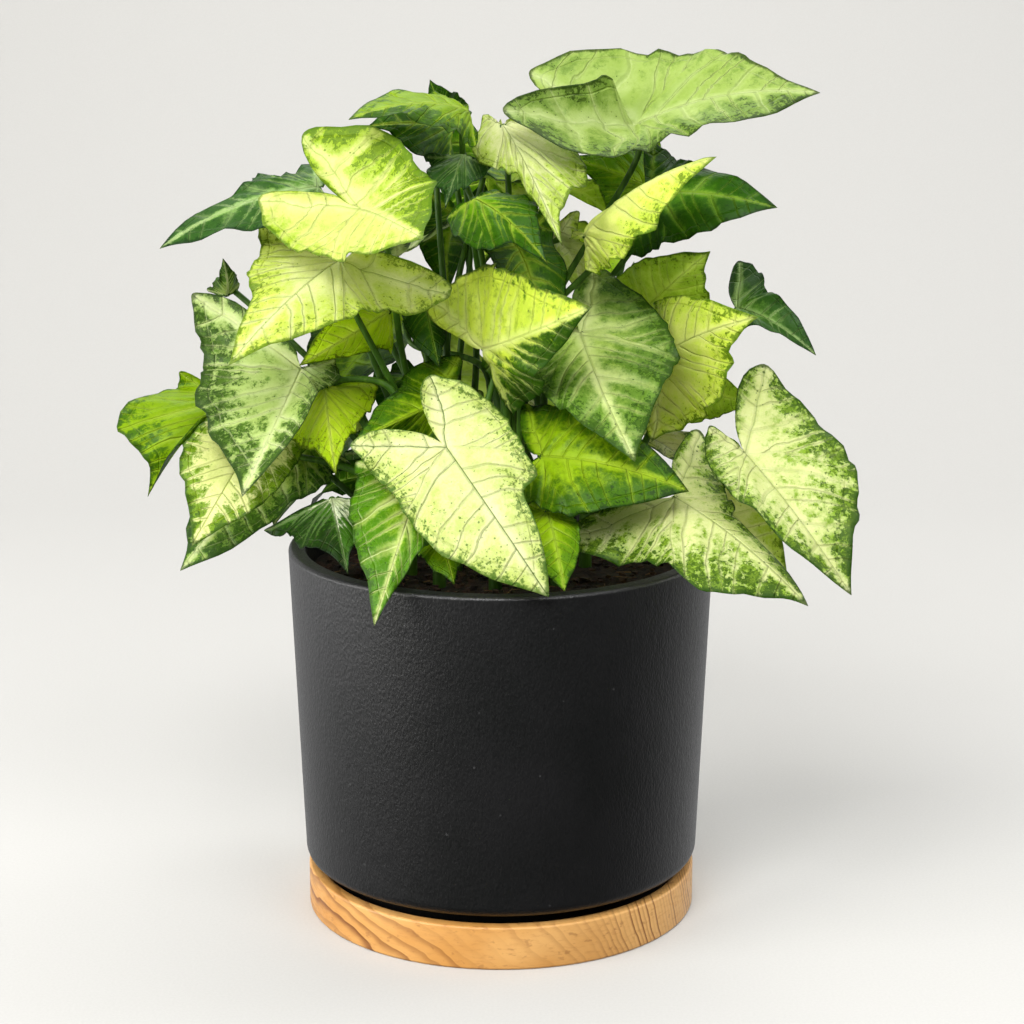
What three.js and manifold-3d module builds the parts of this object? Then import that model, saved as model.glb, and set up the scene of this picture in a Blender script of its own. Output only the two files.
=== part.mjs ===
// An arrowhead plant in a tapered pot that stands on a turned wooden saucer.
// Millimetres, +Z up. The origin is the centre of the saucer's underside, and -Y is the plant's best side.

import * as THREE from 'three';
import { mergeVertices } from 'three/addons/utils/BufferGeometryUtils.js';
import Module from 'manifold-3d';

const wasm = await Module();
wasm.setup();

// Driving dimensions.
const GAP = 0.3;
const ROUND_SIDES = 40;
const STEM_SIDES = 8;
const STALK_SIDES = 5;
const STALK_STEPS = 5;

const SAUCER_RADIUS = 79;
const SAUCER_HEIGHT = 17.5;
const SAUCER_RIM_WIDTH = 5.5;
const SAUCER_FLOOR = 12;
const SAUCER_LOWER_ROUND = 4;
const SAUCER_UPPER_ROUND = 2.5;
const SAUCER_INNER_ROUND = 1;
const SAUCER_COVE = 2;

const POT_TOP = 150;
const POT_RIM_RADIUS = 85;
const POT_BASE_RADIUS = 80;
const POT_WALL = 6.8;
const POT_UNDERSIDE = 21;
const POT_CORNER = 5;
const POT_FOOT_RADIUS = 70;
const POT_FLOOR_THICKNESS = 6;
const LIP_OUTER_ROUND = 1.6;
const LIP_INNER_ROUND = 1.2;
const POT_COVE = 6;

const SOIL_TOP = 138;
const SOIL_LUMP = 1.2;
const SOIL_RINGS = [66, 52, 38, 24, 10];
const STEM_RADIUS = 3;
const STEM_DEPTH = 28;
const STALK_RADIUS = 1.3;
const STALK_BEND = 10;

const BLADE_THICKNESS = 0.7;
const MARGIN_WAVE = 1.3;
const LARGE_BLADE = 45;

// ---------------------------------------------------------------------------------------------
// Finishes
// ---------------------------------------------------------------------------------------------

function finish(color, roughness) {
  return new THREE.MeshStandardMaterial({ color, roughness, metalness: 0 });
}

const WOOD = finish('#d2a468', 0.55);
const CHARCOAL = finish('#37383a', 0.6);
const PEAT = finish('#2c1d14', 0.95);
const STALK_GREEN = finish('#6f9a35', 0.5);
const BLADE_TINTS = {
  cream: finish('#e9f0b8', 0.45),
  lime: finish('#cbe04e', 0.45),
  green: finish('#7fae38', 0.45),
  dark: finish('#2f6422', 0.45),
};

// ---------------------------------------------------------------------------------------------
// Solids
// ---------------------------------------------------------------------------------------------

// A closed three.js geometry as a solid that can be joined and cut.
function solidOf(geometry) {
  const bare = geometry.clone();
  bare.deleteAttribute('normal');
  bare.deleteAttribute('uv');
  const merged = mergeVertices(bare, 1e-4);
  const mesh = new wasm.Mesh({
    numProp: 3,
    vertProperties: new Float32Array(merged.attributes.position.array),
    triVerts: new Uint32Array(merged.index.array),
  });
  return new wasm.Manifold(mesh);
}

function geometryOf(solid) {
  const { vertProperties, triVerts } = solid.getMesh();
  const geometry = new THREE.BufferGeometry();
  geometry.setAttribute('position', new THREE.BufferAttribute(vertProperties, 3));
  geometry.setIndex(new THREE.BufferAttribute(triVerts, 1));
  geometry.computeVertexNormals();
  return geometry;
}

function named(name, geometry, material) {
  const mesh = new THREE.Mesh(geometry, material);
  mesh.name = name;
  return mesh;
}

// Points of a quarter or half round between two angles in degrees, centred on (r, z).
function arc(r, z, radius, from, to, steps) {
  const points = [];
  for (let i = 0; i <= steps; i++) {
    const angle = THREE.MathUtils.degToRad(from + ((to - from) * i) / steps);
    points.push([r + radius * Math.cos(angle), z + radius * Math.sin(angle)]);
  }
  return points;
}

// A solid of revolution about Z from [radius, height] points that start and end on the axis.
function turned(points) {
  const profile = points.map(([r, z]) => new THREE.Vector2(r, z));
  return new THREE.LatheGeometry(profile, ROUND_SIDES).rotateX(Math.PI / 2);
}

// ---------------------------------------------------------------------------------------------
// Saucer, pot and soil
// ---------------------------------------------------------------------------------------------

// A shallow turned dish: flat underside, upright side with eased edges, and a recess for the pot.
function makeSaucer() {
  const inner = SAUCER_RADIUS - SAUCER_RIM_WIDTH;
  const [lower, upper, lip, cove] = [
    SAUCER_LOWER_ROUND, SAUCER_UPPER_ROUND, SAUCER_INNER_ROUND, SAUCER_COVE,
  ];
  return named('saucer', turned([
    [0, 0],
    ...arc(SAUCER_RADIUS - lower, lower, lower, -90, 0, 3),
    ...arc(SAUCER_RADIUS - upper, SAUCER_HEIGHT - upper, upper, 0, 90, 3),
    ...arc(inner + lip, SAUCER_HEIGHT - lip, lip, 90, 180, 1),
    [inner, SAUCER_FLOOR + cove],
    [inner - cove, SAUCER_FLOOR],
    [0, SAUCER_FLOOR],
  ]), WOOD);
}

// A tapered pot with an eased lip, a round lower corner and a foot that sits in the saucer.
function makePot() {
  const footBottom = SAUCER_FLOOR + GAP;
  const innerRim = POT_RIM_RADIUS - POT_WALL;
  const innerBase = POT_BASE_RADIUS - POT_WALL;
  const floor = POT_UNDERSIDE + POT_FLOOR_THICKNESS;
  return named('pot', turned([
    [0, footBottom],
    [POT_FOOT_RADIUS, footBottom],
    [POT_FOOT_RADIUS, POT_UNDERSIDE],
    ...arc(POT_BASE_RADIUS - POT_CORNER, POT_UNDERSIDE + POT_CORNER, POT_CORNER, -90, 0, 4),
    ...arc(POT_RIM_RADIUS - LIP_OUTER_ROUND, POT_TOP - LIP_OUTER_ROUND, LIP_OUTER_ROUND, 0, 90, 2),
    ...arc(innerRim + LIP_INNER_ROUND, POT_TOP - LIP_INNER_ROUND, LIP_INNER_ROUND, 90, 180, 2),
    ...arc(innerBase - POT_COVE, floor + POT_COVE, POT_COVE, 0, -90, 2),
    [0, floor],
  ]), CHARCOAL);
}

// Potting soil: fills the pot to below its lip, with a lumpy top and a plain hole for each stem.
function makeSoil(stems) {
  const floor = POT_UNDERSIDE + POT_FLOOR_THICKNESS + GAP;
  const taper = (POT_RIM_RADIUS - POT_BASE_RADIUS) / (POT_TOP - POT_UNDERSIDE - POT_CORNER);
  const innerBase = POT_BASE_RADIUS - POT_WALL;
  const edgeAt = (z) => innerBase + taper * (z - POT_UNDERSIDE - POT_CORNER) - 2 * GAP;
  const bottom = floor + POT_COVE;
  const shoulder = SOIL_TOP - 2 * SOIL_LUMP;
  const body = turned([
    [0, floor],
    [edgeAt(bottom) - POT_COVE - 1, floor],
    [edgeAt(bottom), bottom],
    [edgeAt(shoulder), shoulder],
    ...SOIL_RINGS.map((r) => [r, SOIL_TOP]),
    [0, SOIL_TOP],
  ]);
  const position = body.attributes.position;
  for (let i = 0; i < position.count; i++) {
    const [x, y, z] = [position.getX(i), position.getY(i), position.getZ(i)];
    if (z < SOIL_TOP || Math.hypot(x, y) < 1) continue;
    position.setZ(i, z + SOIL_LUMP * Math.sin(x * 0.21 + 1) * Math.cos(y * 0.17 - 0.5));
  }
  let solid = solidOf(body);
  for (const stem of Object.values(stems)) {
    const length = 2 * (STEM_DEPTH + GAP);
    const hole = new THREE.CylinderGeometry(STEM_RADIUS + GAP, STEM_RADIUS + GAP, length, STEM_SIDES);
    hole.rotateX(Math.PI / 2).translate(stem.x, stem.y, SOIL_TOP);
    solid = solid.subtract(solidOf(hole));
  }
  return named('soil', geometryOf(solid), PEAT);
}

// ---------------------------------------------------------------------------------------------
// Leaf blades
// ---------------------------------------------------------------------------------------------

// Half of the flat blade, seen from the stalk joint: the angle off the midrib in degrees and the
// distance to the margin as a share of the midrib's length. The lobe's tip is at 138 degrees.
const OUTLINE = [
  [0, 1], [3, 0.925], [8, 0.84], [18, 0.72], [30, 0.62], [45, 0.54], [60, 0.48], [80, 0.42],
  [100, 0.395], [118, 0.405], [130, 0.445], [138, 0.48], [144, 0.44], [152, 0.32], [160, 0.19],
  [170, 0.06],
];
const TAPER_ANGLE = 40;
const SIDE_ANGLE = 60;
const LOBE_ANGLE = 138;
const LOBE_REACH = 0.48;
const LOBE_BACK = 0.357;
const ROLL_ANGLE = 118;
const USUAL_HALF = { taper: 0, slim: 0, nip: 0, cut: 0, roll: 0 };

const RAYS = [0, 14, 34, 60, 90, 116, 138, 152, 168];
const INNER_RAYS = [0, 30, 60, 100, 138, 160];
const LARGE_RINGS = [0.42, 0.76, 1];
const SMALL_RINGS = [0.58, 1];

const vec = ([x, y, z]) => new THREE.Vector3(x, y, z);
const smooth = (t) => t * t * (3 - 2 * t);

// A smooth hump: 0 at both ends of a range of angles and 1 in its middle.
function hump(angle, from, to) {
  const share = THREE.MathUtils.clamp((angle - from) / (to - from), 0, 1);
  return Math.sin(Math.PI * share) ** 2;
}

// Reach of the margin of a half that may taper sooner to the tip, be slimmer in front, be nipped in
// before its lobe or be cut deeper between its lobe and the stalk.
function outlineReach(angle, half) {
  const next = Math.max(1, OUTLINE.findIndex(([a]) => a >= angle));
  const [a0, r0] = OUTLINE[next - 1];
  const [a1, r1] = OUTLINE[next];
  const usual = r0 + ((r1 - r0) * (angle - a0)) / (a1 - a0);
  const front = half.taper * hump(angle, 0, TAPER_ANGLE) + half.slim * hump(angle, 0, SIDE_ANGLE);
  const back = half.nip * hump(angle, SIDE_ANGLE, LOBE_ANGLE) + half.cut * hump(angle, LOBE_ANGLE, 180);
  return usual * (1 - front - back);
}

// Direction and scale of the ray at an angle: through the tip, the side point and the lobe's tip.
function rayAt(angle, tip, side, lobe) {
  const weightTip = ((angle - SIDE_ANGLE) * (angle - LOBE_ANGLE)) / (SIDE_ANGLE * LOBE_ANGLE);
  const weightSide = (angle * (angle - LOBE_ANGLE)) / (SIDE_ANGLE * (SIDE_ANGLE - LOBE_ANGLE));
  const weightLobe = (angle * (angle - SIDE_ANGLE)) / (LOBE_ANGLE * (LOBE_ANGLE - SIDE_ANGLE));
  const direction = new THREE.Vector3()
    .addScaledVector(tip.clone().normalize(), weightTip)
    .addScaledVector(side.clone().normalize(), weightSide)
    .addScaledVector(lobe.clone().normalize(), weightLobe)
    .normalize();
  const scales = [tip.length(), side.length() / LOBE_REACH, lobe.length() / LOBE_REACH];
  const inFront = angle < SIDE_ANGLE;
  const along = inFront ? angle / SIDE_ANGLE : (angle - SIDE_ANGLE) / (LOBE_ANGLE - SIDE_ANGLE);
  const [from, to] = inFront ? scales : scales.slice(1);
  return { direction, scale: from + (to - from) * smooth(Math.min(along, 1)) };
}

// Height of the bowed blade above its flat rays, at a place along the midrib.
function bowAt(along, bow) {
  return 4 * bow * along * (along > 0 ? 1 - along : 1 + Math.max(along, -LOBE_BACK) / LOBE_BACK);
}

// Every blade is a fan of rays from its joint, out to the tip and round to each lobe.
function bladePoint(leaf, half, angle, ring) {
  const { direction, scale } = rayAt(angle, leaf.tip, half.side, half.lobe);
  const reach = outlineReach(angle, half) * ring;
  const along = reach * Math.cos(THREE.MathUtils.degToRad(angle));
  const wave = MARGIN_WAVE * ring ** 3 * Math.sin(THREE.MathUtils.degToRad(angle) * 5 + leaf.phase)
    * Math.min(1, angle / 30);
  const roll = half.roll * ring ** 2 * smooth(THREE.MathUtils.clamp((angle - ROLL_ANGLE) / 50, 0, 1));
  return leaf.joint.clone()
    .addScaledVector(direction, reach * scale)
    .addScaledVector(leaf.up, bowAt(along, leaf.bow) + wave + roll);
}

// A thin closed sheet: the same triangles on both faces, and a narrow edge between them.
function sheet(points, triangles, rim, thickness) {
  const flat = new THREE.BufferGeometry().setFromPoints(points);
  flat.setIndex(triangles);
  flat.computeVertexNormals();
  const normal = flat.attributes.normal;
  const half = thickness / 2;
  const upper = points.map((p, i) => p.clone().addScaledVector(
    new THREE.Vector3().fromBufferAttribute(normal, i), half));
  const lower = points.map((p, i) => p.clone().addScaledVector(
    new THREE.Vector3().fromBufferAttribute(normal, i), -half));
  const count = points.length;
  const index = [...triangles];
  for (let i = 0; i < triangles.length; i += 3) {
    index.push(triangles[i] + count, triangles[i + 2] + count, triangles[i + 1] + count);
  }
  rim.forEach((a, i) => {
    const b = rim[(i + 1) % rim.length];
    index.push(b, a, a + count, b, a + count, b + count);
  });
  const geometry = new THREE.BufferGeometry().setFromPoints([...upper, ...lower]);
  geometry.setIndex(index);
  geometry.computeVertexNormals();
  return geometry;
}

function bladeShape(leaf, angles, rings) {
  const points = [leaf.joint.clone()];
  const rays = [];
  const addRay = (half, angle) => {
    rays.push(rings.map((ring) => points.push(bladePoint(leaf, half, angle, ring)) - 1));
  };
  [...angles].reverse().forEach((angle) => addRay(leaf.left, angle));
  angles.slice(1).forEach((angle) => addRay(leaf.right, angle));

  const triangles = [];
  for (let i = 1; i < rays.length; i++) {
    const [near, far] = [rays[i - 1], rays[i]];
    triangles.push(0, far[0], near[0]);
    for (let k = 1; k < rings.length; k++) {
      triangles.push(near[k - 1], far[k - 1], far[k], near[k - 1], far[k], near[k]);
    }
  }
  const outer = rays.map((ray) => ray[rings.length - 1]);
  const rim = [0, ...rays.at(-1), ...outer.slice(0, -1).reverse(), ...rays[0].slice(0, -1).reverse()];
  return sheet(points, triangles, rim, BLADE_THICKNESS);
}

function makeBlade(leaf) {
  const rings = leaf.tip.length() > LARGE_BLADE ? LARGE_RINGS : SMALL_RINGS;
  return named(leaf.name, bladeShape(leaf, RAYS, rings), BLADE_TINTS[leaf.tint]);
}

// ---------------------------------------------------------------------------------------------
// Stems and leaf stalks
// ---------------------------------------------------------------------------------------------

function tube(path, radius, sides, steps) {
  const section = new THREE.Shape(new THREE.EllipseCurve(0, 0, radius, radius).getSpacedPoints(sides));
  return new THREE.ExtrudeGeometry(section, { steps, extrudePath: path, bevelEnabled: false });
}

// The stalk climbs from its stem, bends out under the blade and ends just clear of its joint. The
// stalk of an inner leaf runs on into its blade.
function stalkPath(stem, leaf) {
  const start = new THREE.Vector3(stem.x, stem.y, SOIL_TOP + leaf.climb);
  const fall = (point) => -point.dot(leaf.up) / point.clone().projectOnPlane(leaf.up).length();
  const { tip, left, right } = leaf;
  const folds = [tip, left.side, left.lobe, right.side, right.lobe].map(fall);
  const steepest = Math.max(0, ...folds) + (4 * leaf.bow) / tip.length();
  const below = leaf.fused ? 0 : BLADE_THICKNESS / 2 + 1.5 * GAP + STALK_RADIUS * steepest;
  const end = leaf.joint.clone().addScaledVector(leaf.up, -below);
  const under = end.clone().addScaledVector(leaf.up, -STALK_BEND);
  const rise = under.clone().sub(start);
  const middle = DETOURS[leaf.name] ? vec(DETOURS[leaf.name])
    : start.clone().add(new THREE.Vector3(rise.x * 0.3, rise.y * 0.3, rise.z * 0.5));
  return new THREE.CatmullRomCurve3([start, middle, under, end]);
}

function makeStem(name, stem, leaves) {
  const top = SOIL_TOP + Math.max(...leaves.map((leaf) => leaf.climb)) + 2;
  const bottom = SOIL_TOP - STEM_DEPTH;
  const core = new THREE.CylinderGeometry(STEM_RADIUS * 0.8, STEM_RADIUS, top - bottom, STEM_SIDES);
  core.rotateX(Math.PI / 2).translate(stem.x, stem.y, (top + bottom) / 2);
  let solid = solidOf(core);
  for (const leaf of leaves) {
    solid = solid.add(solidOf(tube(stalkPath(stem, leaf), STALK_RADIUS, STALK_SIDES, STALK_STEPS)));
    if (leaf.fused) solid = solid.add(solidOf(bladeShape(leaf, INNER_RAYS, SMALL_RINGS)));
  }
  return named(name, geometryOf(solid), STALK_GREEN);
}

// ---------------------------------------------------------------------------------------------
// The leaves, one row each
// ---------------------------------------------------------------------------------------------

const STEMS = {
  stem_front_left: { x: -24, y: -24 },
  stem_left: { x: -36, y: -4 },
  stem_upper_left: { x: -18, y: 2 },
  stem_front: { x: -2, y: -30 },
  stem_front_right: { x: 22, y: -22 },
  stem_right: { x: 34, y: 4 },
  stem_centre: { x: 6, y: -6 },
  stem_back_left: { x: -20, y: 28 },
  stem_back_right: { x: 18, y: 28 },
};

// Stalks that would brush another leaf pass through a point of their own on the way.
const DETOURS = {
  leaf_03: [-44, -8, 215],
  leaf_04: [-38, 6, 220],
  leaf_05: [-38, -4, 205],
  leaf_06: [-46, 10, 210],
  leaf_07: [-58, -2, 205],
  leaf_08: [-66, 8, 214],
  leaf_09: [-54, -12, 180],
  leaf_10: [-50, 6, 160],
  leaf_14: [-8, -20, 195],
  leaf_16: [56, -6, 190],
  leaf_18: [46, 14, 205],
  leaf_19: [56, -12, 155],
  leaf_21: [40, -8, 160],
  leaf_25: [14, 4, 230],
  leaf_26: [4, -8, 225],
  leaf_27: [30, 6, 230],
  leaf_28: [34, 14, 205],
  leaf_30: [-6, 26, 235],
  leaf_31: [-22, 20, 235],
  leaf_32: [-10, 34, 225],
  leaf_34: [6, -14, 245],
  leaf_37: [38, 22, 190],
  leaf_39: [26, 34, 205],
  leaf_40: [-6, 26, 215],
  leaf_42: [-30, 24, 165],
  leaf_50: [-22, 28, 225],
};

// Number, tint, stem, then the points that pose the blade: joint, tip, left side, left lobe,
// right side, right lobe; the bow of its midrib; and how its halves differ from the usual outline,
// left then right. A null side lies evenly between tip and lobe.
const FACING_LEAVES = [
  [1, 'cream', 'front', [-20, -58, 201], [18, -92, 152], [10, -60, 200], [-26, -42, 227],
    [-36, -68, 178], [-57, -52, 201], 6, { taper: [0.22, 0] }],
  [2, 'green', 'front_left', [-29, -42, 188], [-46, -92, 141], [-25, -64, 164], [-10, -32, 178],
    [-58, -58, 173], [-57, -30, 189], 6],
  [3, 'green', 'left', [-78, -8, 222], [-97, -58, 182], [-71, -24, 214], [-65, 6, 224],
    [-120, -14, 214], [-122, 4, 252], 6],
  [4, 'lime', 'upper_left', [-53, -30, 287], [-27, -90, 283], [-27, -42, 301], [-77, -10, 315],
    [-63, -54, 270], [-95, -20, 290], 4, { slim: [-0.1, 0], cut: [0.45, 0.4] }],
  [5, 'cream', 'upper_left', [-61, -24, 267], [-100, -64, 233], [-55, -50, 246], [-19, -22, 249],
    [-97, -26, 260], [-95, -4, 284],
    6, { slim: [0, 0.12], nip: [0.12, 0], roll: [10, 0], cut: [-0.5, -0.3] }],
  [6, 'dark', 'upper_left', [-71, 2, 292], [-130, -22, 271], [-82, -26, 274], [-63, -20, 282],
    [-95, 10, 292], [-74, 28, 300], 5, { slim: [0.1, 0.25] }],
  [7, 'dark', 'left', [-109, 14, 248], [-109, 4, 264], null, [-117, 16, 249], null, [-104, 22, 250], 3],
  [8, 'lime', 'left', [-108, 10, 208], [-139, -14, 172], [-123, -12, 190], [-111, 4, 191],
    [-152, 0, 199], [-130, 18, 216], 12],
  [9, 'lime', 'left', [-96, -18, 196], [-118, -46, 160], [-85, -30, 179], [-74, -10, 194],
    [-125, -26, 191], [-110, -10, 213], 6],
  [10, 'dark', 'left', [-80, 2, 192], [-125, -30, 146], [-72, -14, 173], [-60, 8, 181],
    [-116, 0, 179], [-102, 26, 194], 3, { slim: [0.12, -0.1] }],
  [11, 'green', 'front_left', [-65, -34, 176], [-57, -66, 154], [-49, -52, 162], [-43, -36, 173],
    [-77, -54, 161], [-92, -40, 164], 4],
  [12, 'lime', 'left', [-69, -6, 214], [-63, -38, 186], [-54, -18, 200], [-48, 4, 213],
    [-81, -18, 193], [-87, 2, 207], 5],
  [13, 'green', 'front_left', [-24, -10, 209], [-56, -40, 199], [-42, -24, 191], [-22, -18, 190],
    [-42, -12, 214], [-17, 8, 225], 6],
  [14, 'lime', 'front', [-7, -22, 232], [33, -86, 258], [1, -34, 269], [-30, -4, 249],
    [20, -48, 222], [4, -22, 204], 7, { slim: [0, 0.1] }],
  [15, 'green', 'front_right', [31, -14, 237], [50, -70, 198], [70, -28, 231], [38, 10, 261],
    [17, -38, 215], [20, 0, 241], 7],
  [16, 'lime', 'right', [61, 2, 222], [97, -44, 248], [67, -2, 248], [53, 20, 240], [89, -30, 213],
    [61, -12, 193], 7],
  [17, 'green', 'right', [58, 18, 242], [81, -14, 269], [55, 12, 263], [41, 26, 250], [86, 2, 245],
    [66, 14, 226], 5],
  [18, 'dark', 'right', [94, 12, 243], [123, -12, 228], [106, 8, 249], [96, 30, 261], [97, -2, 236],
    [79, 6, 235], 5, { slim: [0.1, 0] }],
  [19, 'cream', 'front_right', [94, -36, 194], [131, -74, 148], [136, -38, 189], [102, -14, 226],
    [86, -60, 182], [80, -28, 203], 6, { nip: [0.04, 0], slim: [0, 0.15] }],
  [20, 'cream', 'front_right', [67, -42, 178], [114, -82, 146], [90, -36, 171], [79, -10, 198],
    [62, -70, 155], [22, -44, 161], 6, { slim: [0.3, -0.14] }],
  [21, 'dark', 'front_right', [79, -6, 177], [111, -40, 146], null, [86, 8, 196], null,
    [59, -6, 161], 6, { slim: [0.15, 0] }],
  [22, 'green', 'front', [16, -46, 195], [71, -58, 184], [35, -30, 212], [10, -17, 212],
    [23, -62, 174], [3, -52, 180], 5, { slim: [0.25, 0] }],
  [23, 'green', 'front', [18, -53, 175], [24, -80, 151], null, [28, -46, 177], null, [9, -46, 177], 4],
  [24, 'green', 'front_left', [-23, -55, 164], [-17, -74, 152], null, [-13, -50, 165], null,
    [-33, -50, 164], 4],
  [25, 'green', 'centre', [52, 0, 316], [122, -10, 329], [81, 14, 342], [10, 14, 339],
    [63, -24, 309], [0, -22, 320],
    6, { nip: [0.12, 0], roll: [0, 20], slim: [0.04, 0], cut: [0.15, 0.5] }],
  [26, 'lime', 'centre', [32, -20, 276], [79, -58, 309], [42, -12, 280], [29, 4, 274],
    [50, -42, 270], [34, -26, 262], 6, { slim: [0, -0.1] }],
  [27, 'dark', 'right', [58, 4, 289], [105, -26, 287], [75, 8, 300], [61, 24, 308], [68, -16, 270],
    [48, 0, 263], 6, { slim: [0.15, 0] }],
  [28, 'dark', 'centre', [62, 34, 288], [26, 22, 302], null, [40, 29, 269], null, [64, 44, 307], 4],
  [29, 'cream', 'centre', [1, 0, 316], [23, -54, 276], [34, -26, 294], [20, 8, 321], [4, -22, 297],
    [-7, 12, 320], 6],
  [30, 'lime', 'centre', [-12, -8, 322], [-56, -40, 321], [-22, -32, 314], [-9, -24, 310],
    [-28, 2, 325], [-17, 6, 325], 5],
  [31, 'green', 'back_left', [-19, 14, 313], [-51, -8, 316], [-34, -6, 303], [-20, 6, 300], null,
    [-15, 26, 322], 4],
  [32, 'dark', 'back_left', [-23, 36, 319], [-28, 26, 332], null, [-34, 40, 318], null,
    [-13, 42, 321], 3],
  [33, 'dark', 'centre', [-10, -22, 290], [18, -47, 268], [14, -30, 287], [0, -8, 293],
    [-6, -44, 271], [-21, -18, 283], 5],
  [34, 'dark', 'centre', [-14, -2, 305], [-21, -22, 286], [-12, -14, 292], [-3, -4, 300],
    [-29, -14, 295], [-29, -4, 304], 4],
  [35, 'dark', 'upper_left', [-30, 14, 246], [-24, -6, 222], null, [-18, 16, 246], null,
    [-42, 20, 246], 4],
  [36, 'lime', 'upper_left', [-44, 4, 243], [-78, -18, 225], null, [-43, 8, 225], null,
    [-51, 14, 256], 5],
  [37, 'green', 'right', [81, 20, 209], [101, -6, 208], null, [77, 24, 223], null, [77, 20, 194], 4],
];

// The leaves of the far side lean out evenly from the middle of the plant. Number, tint, stem,
// then azimuth, reach and height of the joint, droop of the blade, its roll and its length.
const FAR_LEAVES = [
  [38, 'green', 'back_right', 90, 56, 205, 42, 4, 80],
  [39, 'lime', 'back_right', 48, 74, 224, 38, -8, 66],
  [40, 'cream', 'back_left', 130, 62, 232, 38, 8, 74],
  [41, 'dark', 'back_right', 26, 64, 190, 46, -6, 62],
  [42, 'green', 'back_left', 148, 70, 188, 46, 6, 64],
  [43, 'lime', 'back_right', 64, 44, 266, 22, 6, 64],
  [44, 'green', 'back_left', 148, 50, 262, 26, -6, 58],
  [45, 'dark', 'back_right', 78, 24, 292, 10, 4, 50],
  [46, 'cream', 'back_right', 58, 60, 184, 40, 4, 60],
  [47, 'dark', 'back_left', 124, 60, 184, 40, -4, 60],
];

// Smaller leaves inside the plant grow in one piece with their stem; the same figures but the tint.
const INNER_LEAVES = [
  [48, 'back_left', 110, 52, 275, 70, -10, 34],
  [49, 'centre', -65, 16, 270, 70, -10, 42],
  [50, 'back_left', 95, 60, 300, 60, 10, 58],
  [51, 'back_left', 150, 60, 170, 30, -20, 38],
  [52, 'centre', 25, 16, 290, 20, -20, 34],
  [53, 'back_right', 35, 28, 270, 70, -10, 30],
  [54, 'back_left', 130, 56, 210, 40, 10, 30],
];

function evenSide(tip, lobe) {
  const length = (tip.length() + lobe.length() / LOBE_REACH) / 2;
  const turn = SIDE_ANGLE / LOBE_ANGLE;
  const spread = tip.angleTo(lobe);
  return new THREE.Vector3()
    .addScaledVector(tip.clone().normalize(), Math.sin((1 - turn) * spread))
    .addScaledVector(lobe.clone().normalize(), Math.sin(turn * spread))
    .setLength(length * LOBE_REACH);
}

// Gathers what a blade and its stalk need; all points but the joint are measured from the joint.
function leafFrom(number, tint, stem, joint, tip, left, right, bow) {
  const up = new THREE.Vector3().crossVectors(tip, left.lobe.clone().sub(right.lobe)).normalize();
  const name = `leaf_${String(number).padStart(2, '0')}`;
  return { name, tint, stem: `stem_${stem}`, joint, tip, left, right, up, bow, phase: number * 1.7,
    climb: 6 + (number % 4) * 5, fused: tint === null };
}

// Each half may differ from the usual outline: taper, slim, nip and cut are shares of its reach, and
// roll is how far in mm its lobe's inner margin is rolled up.
function facingLeaf([number, tint, stem, joint, tip, leftSide, leftLobe, rightSide, rightLobe, bow, shape]) {
  const from = (point) => vec(point).sub(vec(joint));
  const half = (side, lobe, i) => {
    const own = Object.fromEntries(Object.entries(shape ?? {}).map(([key, pair]) => [key, pair[i]]));
    return { ...USUAL_HALF, ...own, lobe, side: side ? from(side) : evenSide(from(tip), lobe) };
  };
  return leafFrom(number, tint, stem, vec(joint), from(tip), half(leftSide, from(leftLobe), 0),
    half(rightSide, from(rightLobe), 1), bow);
}

function farLeaf([number, tint, stem, azimuth, reach, height, droop, roll, length]) {
  const turn = THREE.MathUtils.degToRad;
  const outward = new THREE.Vector3(Math.cos(turn(azimuth)), Math.sin(turn(azimuth)), 0);
  const joint = outward.clone().multiplyScalar(reach).setZ(height);
  const level = new THREE.Vector3(-outward.y, outward.x, 0);
  const ahead = outward.clone().applyAxisAngle(level, turn(droop));
  const leftward = level.applyAxisAngle(ahead, turn(roll));
  const up = new THREE.Vector3().crossVectors(ahead, leftward);
  const at = (angle, share, side, lift) => new THREE.Vector3()
    .addScaledVector(ahead, length * share * Math.cos(turn(angle)))
    .addScaledVector(leftward, length * share * Math.sin(turn(angle)) * side)
    .addScaledVector(up, length * lift);
  const half = (side) => ({
    ...USUAL_HALF, side: at(SIDE_ANGLE, 0.46, side, 0.05), lobe: at(132, 0.54, side, 0.1),
  });
  return leafFrom(number, tint, stem, joint, at(0, 1, 0, 0), half(1), half(-1), 6);
}

// ---------------------------------------------------------------------------------------------
// The plant, its pot and its saucer
// ---------------------------------------------------------------------------------------------

const innerLeaf = ([number, ...figures]) => farLeaf([number, null, ...figures]);
const leaves = [...FACING_LEAVES.map(facingLeaf), ...FAR_LEAVES.map(farLeaf), ...INNER_LEAVES.map(innerLeaf)];
const plant = new THREE.Group();
plant.add(makeSaucer(), makePot(), makeSoil(STEMS));
for (const [name, stem] of Object.entries(STEMS)) {
  plant.add(makeStem(name, stem, leaves.filter((leaf) => leaf.stem === name)));
}
leaves.filter((leaf) => !leaf.fused).forEach((leaf) => plant.add(makeBlade(leaf)));

export default plant;
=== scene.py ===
# An arrowhead plant with variegated leaves, in a charcoal pot on a turned wooden saucer.
import math

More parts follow.
